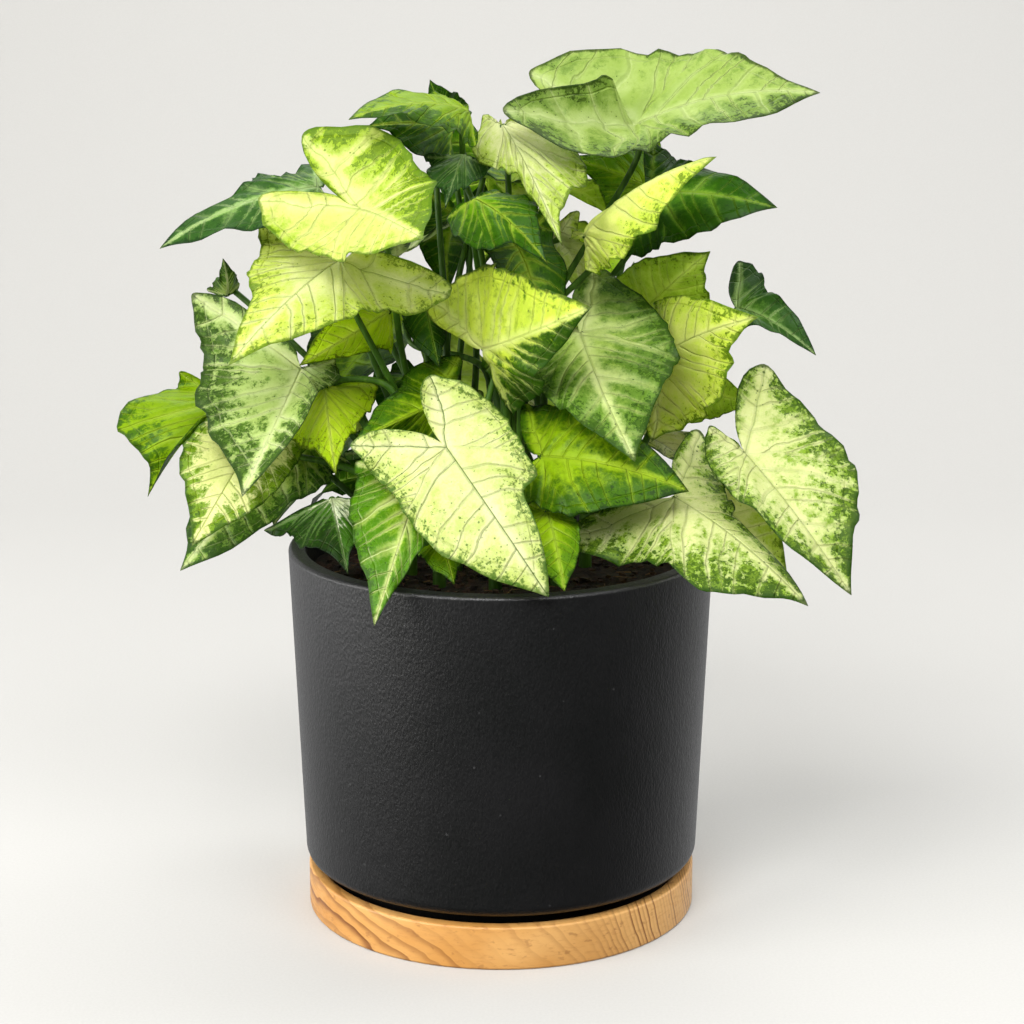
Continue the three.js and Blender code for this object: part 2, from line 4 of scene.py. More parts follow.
import bpy
import numpy as np
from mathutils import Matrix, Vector


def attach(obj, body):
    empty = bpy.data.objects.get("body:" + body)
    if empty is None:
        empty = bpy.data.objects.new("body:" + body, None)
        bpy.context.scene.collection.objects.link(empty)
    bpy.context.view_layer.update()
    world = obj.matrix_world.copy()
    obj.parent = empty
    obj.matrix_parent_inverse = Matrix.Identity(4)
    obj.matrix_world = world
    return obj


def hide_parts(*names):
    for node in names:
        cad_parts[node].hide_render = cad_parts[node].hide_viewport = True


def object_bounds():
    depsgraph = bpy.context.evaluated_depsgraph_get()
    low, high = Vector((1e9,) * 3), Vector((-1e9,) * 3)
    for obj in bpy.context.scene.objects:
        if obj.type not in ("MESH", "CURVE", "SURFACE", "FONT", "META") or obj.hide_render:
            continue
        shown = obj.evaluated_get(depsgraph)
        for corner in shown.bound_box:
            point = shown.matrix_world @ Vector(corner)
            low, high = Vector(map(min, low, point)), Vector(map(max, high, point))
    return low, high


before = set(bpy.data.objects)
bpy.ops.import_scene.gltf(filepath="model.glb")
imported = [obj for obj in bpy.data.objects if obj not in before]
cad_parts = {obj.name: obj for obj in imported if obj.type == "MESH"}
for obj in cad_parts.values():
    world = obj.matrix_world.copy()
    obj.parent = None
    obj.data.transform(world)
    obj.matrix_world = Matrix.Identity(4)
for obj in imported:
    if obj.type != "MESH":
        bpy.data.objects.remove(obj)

CAD_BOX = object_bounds()
MM = 0.001

# ------------------------------------------------------------
# Viewpoint: a little above the leaves, looking down 13 degrees at the plant's best side.
EYE = (0.0045, -0.967, 0.389)
EYE_DOWN = 13.18
LENS = 87.2

eye = bpy.data.objects.new("eye", bpy.data.cameras.new("eye"))
eye.data.lens = LENS
eye.data.sensor_width = 36
eye.data.clip_start = 0.05
eye.location = EYE
eye.rotation_euler = (math.radians(90 - EYE_DOWN), 0, 0)
bpy.context.scene.collection.objects.link(eye)
bpy.context.scene.camera = eye

# ------------------------------------------------------------
# Studio: a pale paper sweep, a tall soft box on the left whose glow runs down the pot with a low
# one under it, two high ones in front for the leaves, one on the right and one behind.
PAPER = "#bbbab7"
PAPER_GRAIN = "#b8b7b4"
SWEEP_BACK = 1.9
SWEEP_ROUND = 1.2
SWEEP_WIDTH = 2.3
SWEEP_FRONT = -1.7
SWEEP_HEIGHT = 3.0
SWEEP_STEPS = 24
WALL_RADIUS = 6.0
WALL_DROP = 0.002


def linear(colour):
    """A '#rrggbb' colour as the linear RGBA that a shader takes."""
    shares = [int(colour[i:i + 2], 16) / 255 for i in (1, 3, 5)]
    return tuple(s / 12.92 if s <= 0.04045 else ((s + 0.055) / 1.055) ** 2.4 for s in shares) + (1.0,)


class Graph:
    """A node tree with short calls for the nodes that these finishes share."""

    def __init__(self, tree):
        self.tree = tree
        self.shader = tree.nodes.get("Principled BSDF")

    def plug(self, socket, value):
        if isinstance(value, bpy.types.NodeSocket):
            self.tree.links.new(value, socket)
        elif isinstance(value, str):
            socket.default_value = linear(value)
        else:
            socket.default_value = value

    def set(self, name, value):
        self.plug(self.shader.inputs[name], value)

    def node(self, kind, inputs=(), **settings):
        made = self.tree.nodes.new("ShaderNode" + kind)
        for key, value in settings.items():
            setattr(made, key, value)
        for key, value in dict(inputs).items():
            self.plug(made.inputs[key], value)
        return made

    def math(self, operation, *values):
        made = self.node("Math", operation=operation)
        for socket, value in zip(made.inputs, values):
            self.plug(socket, value)
        return made.outputs[0]

    def add(self, a, b):
        return self.math("ADD", a, b)

    def less(self, a, b):
        return self.math("SUBTRACT", a, b)

    def times(self, a, b, plus=None):
        return self.math("MULTIPLY", a, b) if plus is None else self.math("MULTIPLY_ADD", a, b, plus)

    def most(self, a, b):
        return self.math("MAXIMUM", a, b)

    def step(self, value, low, high, start=0.0, end=1.0):
        """Runs smoothly from start to end as value goes from low to high."""
        inputs = {"Value": value, "From Min": low, "From Max": high, "To Min": start, "To Max": end}
        return self.node("MapRange", inputs, interpolation_type="SMOOTHSTEP").outputs[0]

    def mix(self, share, first, second, blend="MIX"):
        made = self.node("Mix", {0: share, 6: first, 7: second}, data_type="RGBA", blend_type=blend)
        return made.outputs[2]

    def noise(self, vector, scale, detail=2.0, roughness=0.5, distortion=0.0):
        inputs = {"Vector": vector, "Scale": scale, "Detail": detail, "Roughness": roughness,
                  "Distortion": distortion}
        return self.node("TexNoise", inputs).outputs["Fac"]

    def place(self, stretch=(1, 1, 1), turn=(0, 0, 0)):
        """Where a point is on the piece, in metres, stretched and turned."""
        where = self.node("TexCoord").outputs["Object"]
        return self.node("Mapping", {"Vector": where, "Scale": stretch, "Rotation": turn}).outputs[0]

    def scatter(self, vector, scale, **settings):
        """The distance that a Voronoi texture gives."""
        return self.node("TexVoronoi", {"Vector": vector, "Scale": scale}, **settings).outputs["Distance"]

    def bump(self, height, strength, distance):
        inputs = {"Height": height, "Strength": strength, "Distance": distance}
        return self.node("Bump", inputs).outputs[0]

    def shine_through(self, share, inputs):
        """Lets a share of the light through the piece, coloured by these inputs."""
        through = self.node("BsdfTranslucent", inputs).outputs[0]
        both = self.node("MixShader", {0: share, 1: self.shader.outputs[0], 2: through}).outputs[0]
        self.plug(self.tree.nodes["Material Output"].inputs["Surface"], both)


def new_finish(name):
    """A bare material and its graph, whose set gives the Principled shader its values."""
    material = bpy.data.materials.new(name)
    material.use_nodes = True
    return material, Graph(material.node_tree)


def mesh_piece(name, points, faces, material, smooth=True):
    """A mesh object in metres from points and faces, shaded smooth unless told otherwise."""
    mesh = bpy.data.meshes.new(name)
    mesh.from_pydata([tuple(p) for p in points], [], [tuple(f) for f in faces])
    mesh.validate()
    mesh.polygons.foreach_set("use_smooth", [smooth] * len(mesh.polygons))
    mesh.materials.append(material)
    mesh.update()
    piece = bpy.data.objects.new(name, mesh)
    bpy.context.scene.collection.objects.link(piece)
    return piece


def arc(r, z, radius, start, end, steps):
    """Points of a round between two angles in degrees, centred on (r, z)."""
    return [(r + radius * math.cos(a), z + radius * math.sin(a))
            for a in np.radians(np.linspace(start, end, steps + 1))]


def turned(name, profile, material, sides=192):
    """A solid of revolution from (radius, height) points in mm that start and end on the axis."""
    rings = profile[1:-1]
    points = [(0, 0, profile[0][1] * MM), (0, 0, profile[-1][1] * MM)]
    for r, z in rings:
        points += [(r * MM * math.cos(a), r * MM * math.sin(a), z * MM)
                   for a in np.arange(sides) * 2 * math.pi / sides]
    faces = []
    for i in range(sides):
        j = (i + 1) % sides
        faces.append((0, 2 + j, 2 + i))
        for k in range(len(rings) - 1):
            low, high = 2 + k * sides, 2 + (k + 1) * sides
            faces.append((low + i, low + j, high + j, high + i))
        last = 2 + (len(rings) - 1) * sides
        faces.append((1, last + i, last + j))
    return mesh_piece(name, points, faces, material)


paper, graph = new_finish("paper")
grain = graph.noise(graph.place(), 900)
graph.set("Roughness", 0.9)
graph.set("Specular IOR Level", 0.2)
graph.set("Base Color", graph.mix(graph.step(grain, 0.3, 0.7), PAPER, PAPER_GRAIN))

line = [(SWEEP_FRONT, 0.0), (SWEEP_BACK - SWEEP_ROUND, 0.0)]
line += [(SWEEP_BACK - SWEEP_ROUND * (1 - math.sin(a)), SWEEP_ROUND * (1 - math.cos(a)))
         for a in np.linspace(0, math.pi / 2, SWEEP_STEPS)[1:]]
line += [(SWEEP_BACK, SWEEP_HEIGHT)]
sweep_points = [(x, y, z) for y, z in line for x in (-SWEEP_WIDTH, SWEEP_WIDTH)]
sweep_faces = [(2 * i, 2 * i + 1, 2 * i + 3, 2 * i + 2) for i in range(len(line) - 1)]
sweep = mesh_piece("sweep", sweep_points, sweep_faces, paper)
sweep.visible_glossy = False

# Pale walls stand all round the sweep. They only close the view, and throw no light or shade on it.
wall_paint, graph = new_finish("wall_paint")
tone = graph.noise(graph.place(), 0.4)
graph.set("Base Color", (0, 0, 0, 1))
graph.set("Emission Color", graph.mix(graph.step(tone, 0.3, 0.7), "#e9e9e7", "#e5e5e3"))
graph.set("Emission Strength", 1.0)
graph.set("Specular IOR Level", 0.0)
graph.set("Roughness", 1.0)
corner = arc(WALL_RADIUS - SWEEP_ROUND, SWEEP_ROUND - WALL_DROP, SWEEP_ROUND, -90, 0, SWEEP_STEPS)
profile = [(0, -WALL_DROP), *corner, (WALL_RADIUS, WALL_RADIUS), (0, WALL_RADIUS)]
walls = turned("walls", [(r / MM, z / MM) for r, z in profile], wall_paint, 96)
walls.visible_glossy = walls.visible_diffuse = walls.visible_shadow = walls.visible_transmission = False


def soft_box(name, place, aim, size, power, colour="#ffffff"):
    box = bpy.data.objects.new(name, bpy.data.lights.new(name, "AREA"))
    box.data.shape = "RECTANGLE"
    box.data.size, box.data.size_y = size
    box.data.energy = power
    box.data.color = linear(colour)[:3]
    box.location = place
    box.rotation_euler = (Vector(aim) - Vector(place)).to_track_quat("-Z", "Y").to_euler()
    bpy.context.scene.collection.objects.link(box)


soft_box("tall_left", (-2.1, -1.1, 1.0), (0, 0, 0.15), (1.4, 1.8), 60, "#fffdf8")
soft_box("low_left", (-0.95, 0.0, 0.14), (0, 0, 0.08), (1.0, 0.22), 3.4)
soft_box("front_high", (-0.35, -1.35, 1.45), (0, 0, 0.25), (0.9, 0.7), 33)
soft_box("front_right", (0.8, -1.2, 1.4), (0, 0, 0.25), (0.9, 0.9), 14)
soft_box("behind", (0.2, 1.1, 1.7), (0, 0.9, 0), (2.0, 0.8), 16)
soft_box("tall_right", (1.7, 0.55, 1.0), (0, 0, 0.27), (0.7, 1.3), 8)

# The room's own light comes from above and behind.
world = bpy.data.worlds.new("studio")
world.use_nodes = True
room = Graph(world.node_tree)
facing = room.node("SeparateXYZ", {0: room.node("TexCoord").outputs["Generated"]})
from_behind = room.step(facing.outputs[1], -0.3, 0.8, 0.02, 0.75)
from_above = room.step(facing.outputs[2], 0.1, 1.0, 0.0, 0.5)
glow = room.add(from_behind, from_above)
room.plug(world.node_tree.nodes["Background"].inputs["Strength"], glow)
world.node_tree.nodes["Background"].inputs["Color"].default_value = (1, 1, 1, 1)
bpy.context.scene.world = world
bpy.context.scene.view_settings.view_transform = "Standard"

# ------------------------------------------------------------
# Saucer: a shallow dish turned from one board of honey-coloured softwood, with eased edges and a
# recess that the pot's foot stands in, then oiled. The board's rings cross its side at a slant
# on the left, and stand upright on the right.
SAUCER_RADIUS = 79.0
SAUCER_HEIGHT = 17.5
SAUCER_RIM_WIDTH = 5.5
SAUCER_FLOOR = 12.0
SAUCER_LOWER_ROUND = 1.2
SAUCER_UPPER_ROUND = 1.0
SAUCER_INNER_ROUND = 1.0
SAUCER_COVE = 2.0
RING_SPACING = 5.2

wood, graph = new_finish("oiled_softwood")
place = graph.place()
parts = graph.node("SeparateXYZ", {0: place})
x, y, z = parts.outputs
swirl = graph.noise(graph.place(stretch=(1, 1, 1.6)), 26, detail=3, roughness=0.55)
steep = graph.times(graph.math("POWER", graph.most(x, 0.0), 3), 260)
across_rings = graph.times(x, 0.62, graph.times(z, 0.85, steep))
across_rings = graph.times(y, 0.22, across_rings)
across_rings = graph.times(swirl, 0.012, across_rings)
ring_phase = graph.math("DIVIDE", across_rings, RING_SPACING * MM)
within = graph.math("FRACT", ring_phase)
which = graph.math("FLOOR", ring_phase)
each = graph.node("TexWhiteNoise", {"W": which}, noise_dimensions="1D").outputs[0]
late_wood = graph.times(graph.step(within, 0.35, 0.93), graph.step(within, 0.94, 1.0, 1, 0))
late_wood = graph.times(late_wood, graph.step(each, 0.15, 0.95, 0.12, 1.0))
middle = graph.times(graph.step(x, -0.015, 0.015), graph.step(x, 0.035, 0.055, 1, 0))
late_wood = graph.times(late_wood, graph.times(middle, -0.75, 1.0))
fibre = graph.noise(graph.place(stretch=(220, 220, 900)), 1.0, detail=4, roughness=0.6)
fleck = graph.noise(graph.place(stretch=(260, 260, 420)), 1.0, detail=2)
tone = graph.noise(graph.place(stretch=(20, 20, 34)), 1.0, detail=3)
honey = graph.mix(graph.step(tone, 0.3, 0.7), "#b9833f", "#cf9f5e")
grained = graph.mix(late_wood, honey, "#774619")
grained = graph.mix(graph.step(fibre, 0.5, 0.75, 0.0, 0.4), grained, "#a06a30")
grained = graph.mix(graph.step(fleck, 0.62, 0.72, 0.0, 0.45), grained, "#86562a")
graph.set("Base Color", grained)
graph.set("Roughness", graph.step(fibre, 0.3, 0.7, 0.40, 0.54))
height = graph.add(graph.times(fibre, 0.6), graph.times(late_wood, -0.3))
graph.set("Normal", graph.bump(height, 0.25, 0.0004))

inner = SAUCER_RADIUS - SAUCER_RIM_WIDTH
saucer = turned("turned_saucer", [
    (0, 0),
    *arc(SAUCER_RADIUS - SAUCER_LOWER_ROUND, SAUCER_LOWER_ROUND, SAUCER_LOWER_ROUND, -90, 0, 8),
    *arc(SAUCER_RADIUS - SAUCER_UPPER_ROUND, SAUCER_HEIGHT - SAUCER_UPPER_ROUND,
         SAUCER_UPPER_ROUND, 0, 90, 8),
    *arc(inner + SAUCER_INNER_ROUND, SAUCER_HEIGHT - SAUCER_INNER_ROUND, SAUCER_INNER_ROUND, 90, 180, 5),
    *arc(inner - SAUCER_COVE, SAUCER_FLOOR + SAUCER_COVE, SAUCER_COVE, 0, -90, 5),
    (0, SAUCER_FLOOR),
], wood)
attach(saucer, "root")
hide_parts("saucer")

# ------------------------------------------------------------
# Pot: a tapered cast pot with an eased lip, a round lower corner and a narrow foot that stands
# in the saucer. Its matte charcoal glaze has a fine leathery texture.
POT_TOP = 150.0
POT_RIM_RADIUS = 85.0
POT_BASE_RADIUS = 80.0
POT_WALL = 6.8
POT_UNDERSIDE = 21.0
POT_CORNER = 5.0
POT_FOOT_RADIUS = 70.0
FOOT_EASE = 0.6
POT_FLOOR_THICKNESS = 6.0
LIP_OUTER_ROUND = 1.6
LIP_INNER_ROUND = 1.2
POT_COVE = 6.0
GAP = 0.3

glaze, graph = new_finish("charcoal_glaze")
skin = graph.place(stretch=(1, 1, 0.55))
pebble = graph.scatter(skin, 1250, feature="SMOOTH_F1", distance="EUCLIDEAN")
wrinkle = graph.noise(skin, 1500, detail=2, roughness=0.6, distortion=0.6)
swell = graph.noise(skin, 330, detail=2)
relief = graph.add(graph.times(pebble, 0.7), graph.times(wrinkle, 0.8))
relief = graph.times(swell, 0.8, relief)
cloud = graph.noise(graph.place(), 22, detail=3)
mote = graph.scatter(graph.place(), 95, feature="F1")
black = graph.mix(graph.step(cloud, 0.3, 0.7), "#0c0d0d", "#121213")
black = graph.mix(graph.step(mote, 0.03, 0.06, 0.35, 0.0), black, "#4c4d4d")
graph.set("Base Color", black)
graph.set("Roughness", graph.step(wrinkle, 0.3, 0.7, 0.38, 0.48))
graph.set("Specular IOR Level", 0.5)
graph.set("Normal", graph.bump(relief, 0.32, 0.0005))

inner_rim = POT_RIM_RADIUS - POT_WALL
inner_base = POT_BASE_RADIUS - POT_WALL
floor_top = POT_UNDERSIDE + POT_FLOOR_THICKNESS
lower_corner = arc(POT_BASE_RADIUS - POT_CORNER, POT_UNDERSIDE + POT_CORNER, POT_CORNER, -90, 0, 12)
lip = arc(POT_RIM_RADIUS - LIP_OUTER_ROUND, POT_TOP - LIP_OUTER_ROUND, LIP_OUTER_ROUND, 0, 90, 8)
lip += arc(inner_rim + LIP_INNER_ROUND, POT_TOP - LIP_INNER_ROUND, LIP_INNER_ROUND, 90, 180, 6)
pot = turned("charcoal_pot", [
    (0, SAUCER_FLOOR + GAP),
    (POT_FOOT_RADIUS - FOOT_EASE, SAUCER_FLOOR + GAP),
    (POT_FOOT_RADIUS, SAUCER_FLOOR + GAP + FOOT_EASE),
    (POT_FOOT_RADIUS, POT_UNDERSIDE),
    *lower_corner,
    *lip,
    *arc(inner_base - POT_COVE, floor_top + POT_COVE, POT_COVE, 0, -90, 4),
    (0, floor_top),
], glaze)
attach(pot, "root")
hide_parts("pot")

# ------------------------------------------------------------
# Potting soil: dark moist peat, a little lumpy, filling the pot to 12 mm under its lip. Bark
# chips and root fibres lie loose on it.
SOIL_TOP = 138.0
SOIL_LUMP = 1.2
CRUMB_COUNT = 900
CRUMB_SIZES = (2.4, 1.8, 1.3)
FIBRE_COUNT = 160
FIBRE_SIZES = (6.0, 0.4, 0.35)
SOIL_SIDES = 120
SOIL_RINGS = 34
luck = np.random.default_rng(11)


def soil_height(x, y):
    """Height of the soil's lumpy top in mm: the same broad lumps as the solid, with finer ones."""
    broad = SOIL_LUMP * math.sin(x * 0.21 + 1) * math.cos(y * 0.17 - 0.5)
    fine = 0.5 * math.sin(x * 0.9 + 2 * math.sin(y * 0.31)) * math.sin(y * 0.8 + math.sin(x * 0.43))
    return SOIL_TOP + broad + fine


peat, graph = new_finish("moist_peat")
clod = graph.noise(graph.place(), 320, detail=5, roughness=0.65)
speck = graph.noise(graph.place(), 1300, detail=2)
dark_peat = graph.mix(graph.step(clod, 0.35, 0.65), "#120c08", "#35231a")
flecked = graph.mix(graph.step(speck, 0.62, 0.76, 0, 0.4), dark_peat, "#6a3f26")
graph.set("Base Color", flecked)
graph.set("Roughness", 0.9)
graph.set("Normal", graph.bump(clod, 0.8, 0.002))

edge = inner_rim - 3 * GAP
soil = turned("peat", [
    (0, floor_top + GAP),
    (inner_base - POT_COVE - 1, floor_top + GAP),
    (inner_base - GAP - 1, floor_top + GAP + POT_COVE),
    (edge - 0.6, SOIL_TOP - 4),
    *[(r, SOIL_TOP) for r in np.linspace(edge, 2, SOIL_RINGS)],
    (0, SOIL_TOP),
], peat, SOIL_SIDES)
for vertex in soil.data.vertices:
    if vertex.co.z > (SOIL_TOP - 1) * MM:
        vertex.co.z = soil_height(vertex.co.x / MM, vertex.co.y / MM) * MM
soil.data.update()
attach(soil, "root")
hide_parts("soil")


def crumb(centre, size, turn):
    """A loose bit: a box of six skewed sides, so that no two look alike."""
    corners = np.array([(x, y, z) for x in (-1, 1) for y in (-1, 1) for z in (-1, 1)], float)
    corners *= np.array(size) * (1 + 0.35 * luck.standard_normal((8, 3))) / 2
    c, s = math.cos(turn), math.sin(turn)
    spun = corners @ np.array([[c, s, 0], [-s, c, 0], [0, 0, 1]])
    return spun + centre


CRUMB_SIDES = [(0, 1, 3, 2), (4, 6, 7, 5), (0, 4, 5, 1), (2, 3, 7, 6), (0, 2, 6, 4), (1, 5, 7, 3)]


def scatter(name, count, sizes, material, reach):
    """Loose bits on the soil, joined in one piece."""
    points, faces = [], []
    for _ in range(count):
        r, a = reach * math.sqrt(luck.random()), luck.random() * 2 * math.pi
        x, y = r * math.cos(a), r * math.sin(a)
        size = np.array(sizes) * luck.uniform(0.5, 1.2)
        centre = np.array((x, y, soil_height(x, y) + 0.25 * size[2]))
        faces += [tuple(len(points) + i for i in side) for side in CRUMB_SIDES]
        points += list(crumb(centre, size, luck.random() * math.pi) * MM)
    piece = mesh_piece(name, points, faces, material, smooth=False)
    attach(piece, "root")
    return piece


bark, graph = new_finish("bark_bits")
tone = graph.noise(graph.place(), 160, detail=3)
graph.set("Base Color", graph.mix(graph.step(tone, 0.35, 0.65), "#1a110a", "#4a3222"))
graph.set("Roughness", 0.85)
graph.set("Normal", graph.bump(graph.noise(graph.place(), 900), 0.5, 0.0005))
fibre_stuff, graph = new_finish("root_fibre")
tone = graph.noise(graph.place(), 90, detail=2)
graph.set("Base Color", graph.mix(graph.step(tone, 0.3, 0.7), "#5a4026", "#8a6a42"))
graph.set("Roughness", 0.8)
scatter("bark_crumbs", CRUMB_COUNT, CRUMB_SIZES, bark, edge - 2)
scatter("root_fibres", FIBRE_COUNT, FIBRE_SIZES, fibre_stuff, edge - 4)

# ------------------------------------------------------------
# Leaf blades: thin arrow-shaped sheets that grew in one piece. Each has a midrib, a main vein in
# each lobe, side veins that bend towards the tip and end in a vein along the waved margin. The
# blade puffs up a little between its veins, and light shines through it.
OUTLINE = np.array([
    (0, 1), (3, 0.925), (8, 0.84), (18, 0.72), (30, 0.62), (45, 0.54), (60, 0.48), (80, 0.42),
    (100, 0.395), (118, 0.405), (130, 0.445), (138, 0.48), (144, 0.44), (152, 0.32), (160, 0.19),
    (170, 0.06), (176, 0.04),
])
TAPER_ANGLE = 40.0
SIDE_ANGLE = 60.0
LOBE_ANGLE = 138.0
LOBE_COS = math.cos(math.radians(LOBE_ANGLE))
LOBE_SIN = math.sin(math.radians(LOBE_ANGLE))
LOBE_REACH = 0.48
LOBE_BACK = 0.357
ROLL_ANGLE = 118.0
USUAL_HALF = dict(taper=0, slim=0, nip=0, cut=0, roll=0)

# Relief in mm on a blade 90 mm long, and its thickness. The scallops of the margin, the width of
# a rib and the spaces between veins are shares of the midrib's length.
MARGIN_WAVE = 1.3
RIPPLE = 1.7
PUFF = 1.3
QUILT = 0.8
CRUMPLE = 1.2
SCALLOP = 0.022
BLADE_THICKNESS = 0.5
EDGE_THICKNESS = 0.16
RIB_GROOVE = 0.22
RIB_HEIGHT = 0.75
RIB_WIDTH = 0.012
LOBE_RIB_SHARE = 0.6
VEIN_SPACING = 0.135
LOBE_VEIN_SPACING = 0.12

# How unevenly the side veins stand, and how far out the margin's vein runs.
UNEVEN = 0.26
UNEVEN_TURN = 2.1
MARGIN_VEIN = 0.87

# The blade's mesh: rays in degrees from the midrib, and rings as shares of the way out.
RAYS = np.array([
    0, 0.8, 1.8, 3.2, 5, 7.5, 10.5, 14, 18, 22, 26, 30, 34, 38, 43, 48, 53, 58, 63, 68, 73, 79, 85, 91,
    97, 103, 109, 115, 120, 125, 129, 132.5, 135.2, 137, 138, 139, 140.8, 143.5, 147, 151, 155, 159, 163,
    167, 170, 172,
], float)
RINGS = np.array([0.03, 0.07, 0.12, 0.18, 0.24, 0.3, 0.36, 0.42, 0.48, 0.54, 0.6, 0.66, 0.72, 0.78, 0.83,
                  0.88, 0.92, 0.955, 0.98, 1.0])

# Blades stay 1 mm inside the box round the solids.
BLADE_ROOM = np.array(CAD_BOX) / MM + np.array([[1.0], [-1.0]])


def ease(t):
    return t * t * (3 - 2 * t)


def unit(v):
    return v / np.linalg.norm(v)


def hump(angle, start, end):
    """A smooth hump: 0 at both ends of a range of angles and 1 in its middle."""
    return np.sin(np.pi * np.clip((angle - start) / (end - start), 0, 1)) ** 2


def outline_reach(angle, half):
    """Distance to the margin as a share of the midrib, with the outline's corners rounded."""
    blur = np.minimum(2.0, angle / 2)
    spread = [angle + k * blur for k in (-1, -0.5, 0, 0.5, 1)]
    usual = sum(np.interp(a, OUTLINE[:, 0], OUTLINE[:, 1]) for a in spread) / len(spread)
    front = half["taper"] * hump(angle, 0, TAPER_ANGLE) + half["slim"] * hump(angle, 0, SIDE_ANGLE)
    back = half["nip"] * hump(angle, SIDE_ANGLE, LOBE_ANGLE) + half["cut"] * hump(angle, LOBE_ANGLE, 180)
    return usual * (1 - front - back)


def ray(angle, tip, side, lobe):
    """Directions and scales of the rays at these angles: through tip, side point and lobe tip."""
    at_tip = (angle - SIDE_ANGLE) * (angle - LOBE_ANGLE) / (SIDE_ANGLE * LOBE_ANGLE)
    at_side = angle * (angle - LOBE_ANGLE) / (SIDE_ANGLE * (SIDE_ANGLE - LOBE_ANGLE))
    at_lobe = angle * (angle - SIDE_ANGLE) / (LOBE_ANGLE * (LOBE_ANGLE - SIDE_ANGLE))
    aim = np.outer(at_tip, unit(tip)) + np.outer(at_side, unit(side)) + np.outer(at_lobe, unit(lobe))
    aim /= np.linalg.norm(aim, axis=1)[:, None]
    lengths = [np.linalg.norm(tip), np.linalg.norm(side) / LOBE_REACH, np.linalg.norm(lobe) / LOBE_REACH]
    front = ease(np.clip(angle / SIDE_ANGLE, 0, 1))
    back = ease(np.clip((angle - SIDE_ANGLE) / (LOBE_ANGLE - SIDE_ANGLE), 0, 1))
    scale = np.where(angle < SIDE_ANGLE, lengths[0] + (lengths[1] - lengths[0]) * front,
                     lengths[1] + (lengths[2] - lengths[1]) * back)
    return aim, scale


def bow_at(along, bow):
    behind = 1 + np.maximum(along, -LOBE_BACK) / LOBE_BACK
    return 4 * bow * along * np.where(along > 0, 1 - along, behind)


def vein_phase(along, across, start):
    """How far a place lies between two side veins: whole numbers are on a vein."""
    ahead = along - 0.5 * across - 0.75 * across ** 2
    out = along * LOBE_COS + across * LOBE_SIN
    off = np.abs(across * LOBE_COS - along * LOBE_SIN)
    behind = out - 0.6 * off - 1.0 * off ** 2
    even = np.where(ahead > 0, ahead / VEIN_SPACING, behind / LOBE_VEIN_SPACING)
    return even + UNEVEN * np.sin(UNEVEN_TURN * even + start)


def blade_lift(leaf, half, angle, ring, along, across, sign):
    """Height of the blade over its flat rays: bow, waved margin, rolled lobe, puffs and crumples."""
    turn, phase = np.radians(angle)[:, None], leaf["phase"]
    size = np.linalg.norm(leaf["tip"]) / 90
    wave = MARGIN_WAVE * ring ** 3 * np.sin(turn * 5 + phase) * np.minimum(1, angle / 30)[:, None]
    ripple = np.sin(turn * 11 + 2.3 * phase * sign) + 0.6 * np.sin(turn * 19 - 1.7 * phase * sign)
    ripple = ripple * RIPPLE * size * ring ** 5 * np.minimum(1, angle / 15)[:, None]
    roll = half["roll"] * ring ** 2 * ease(np.clip((angle - ROLL_ANGLE) / 50, 0, 1))[:, None]
    puff = PUFF * size * 4 * ring * (1 - ring) * np.minimum(1, 1.4 * np.sin(turn))
    veins = np.cos(2 * math.pi * vein_phase(along, across, leaf["number"] + sign))
    quilt = -veins * QUILT * size * np.minimum(1, across / 0.05) * (1 - ring ** 4)
    lumps = np.sin(along * 13 + 3 * np.sin(across * 9 * sign + phase))
    lumps = lumps * np.sin(across * 17 - along * 6 + 2 * phase)
    crumple = CRUMPLE * size * lumps * np.minimum(1, across / 0.08) * ring * (1.2 - ring)
    return bow_at(along, leaf["bow"]) + wave + ripple + roll + puff + quilt + crumple


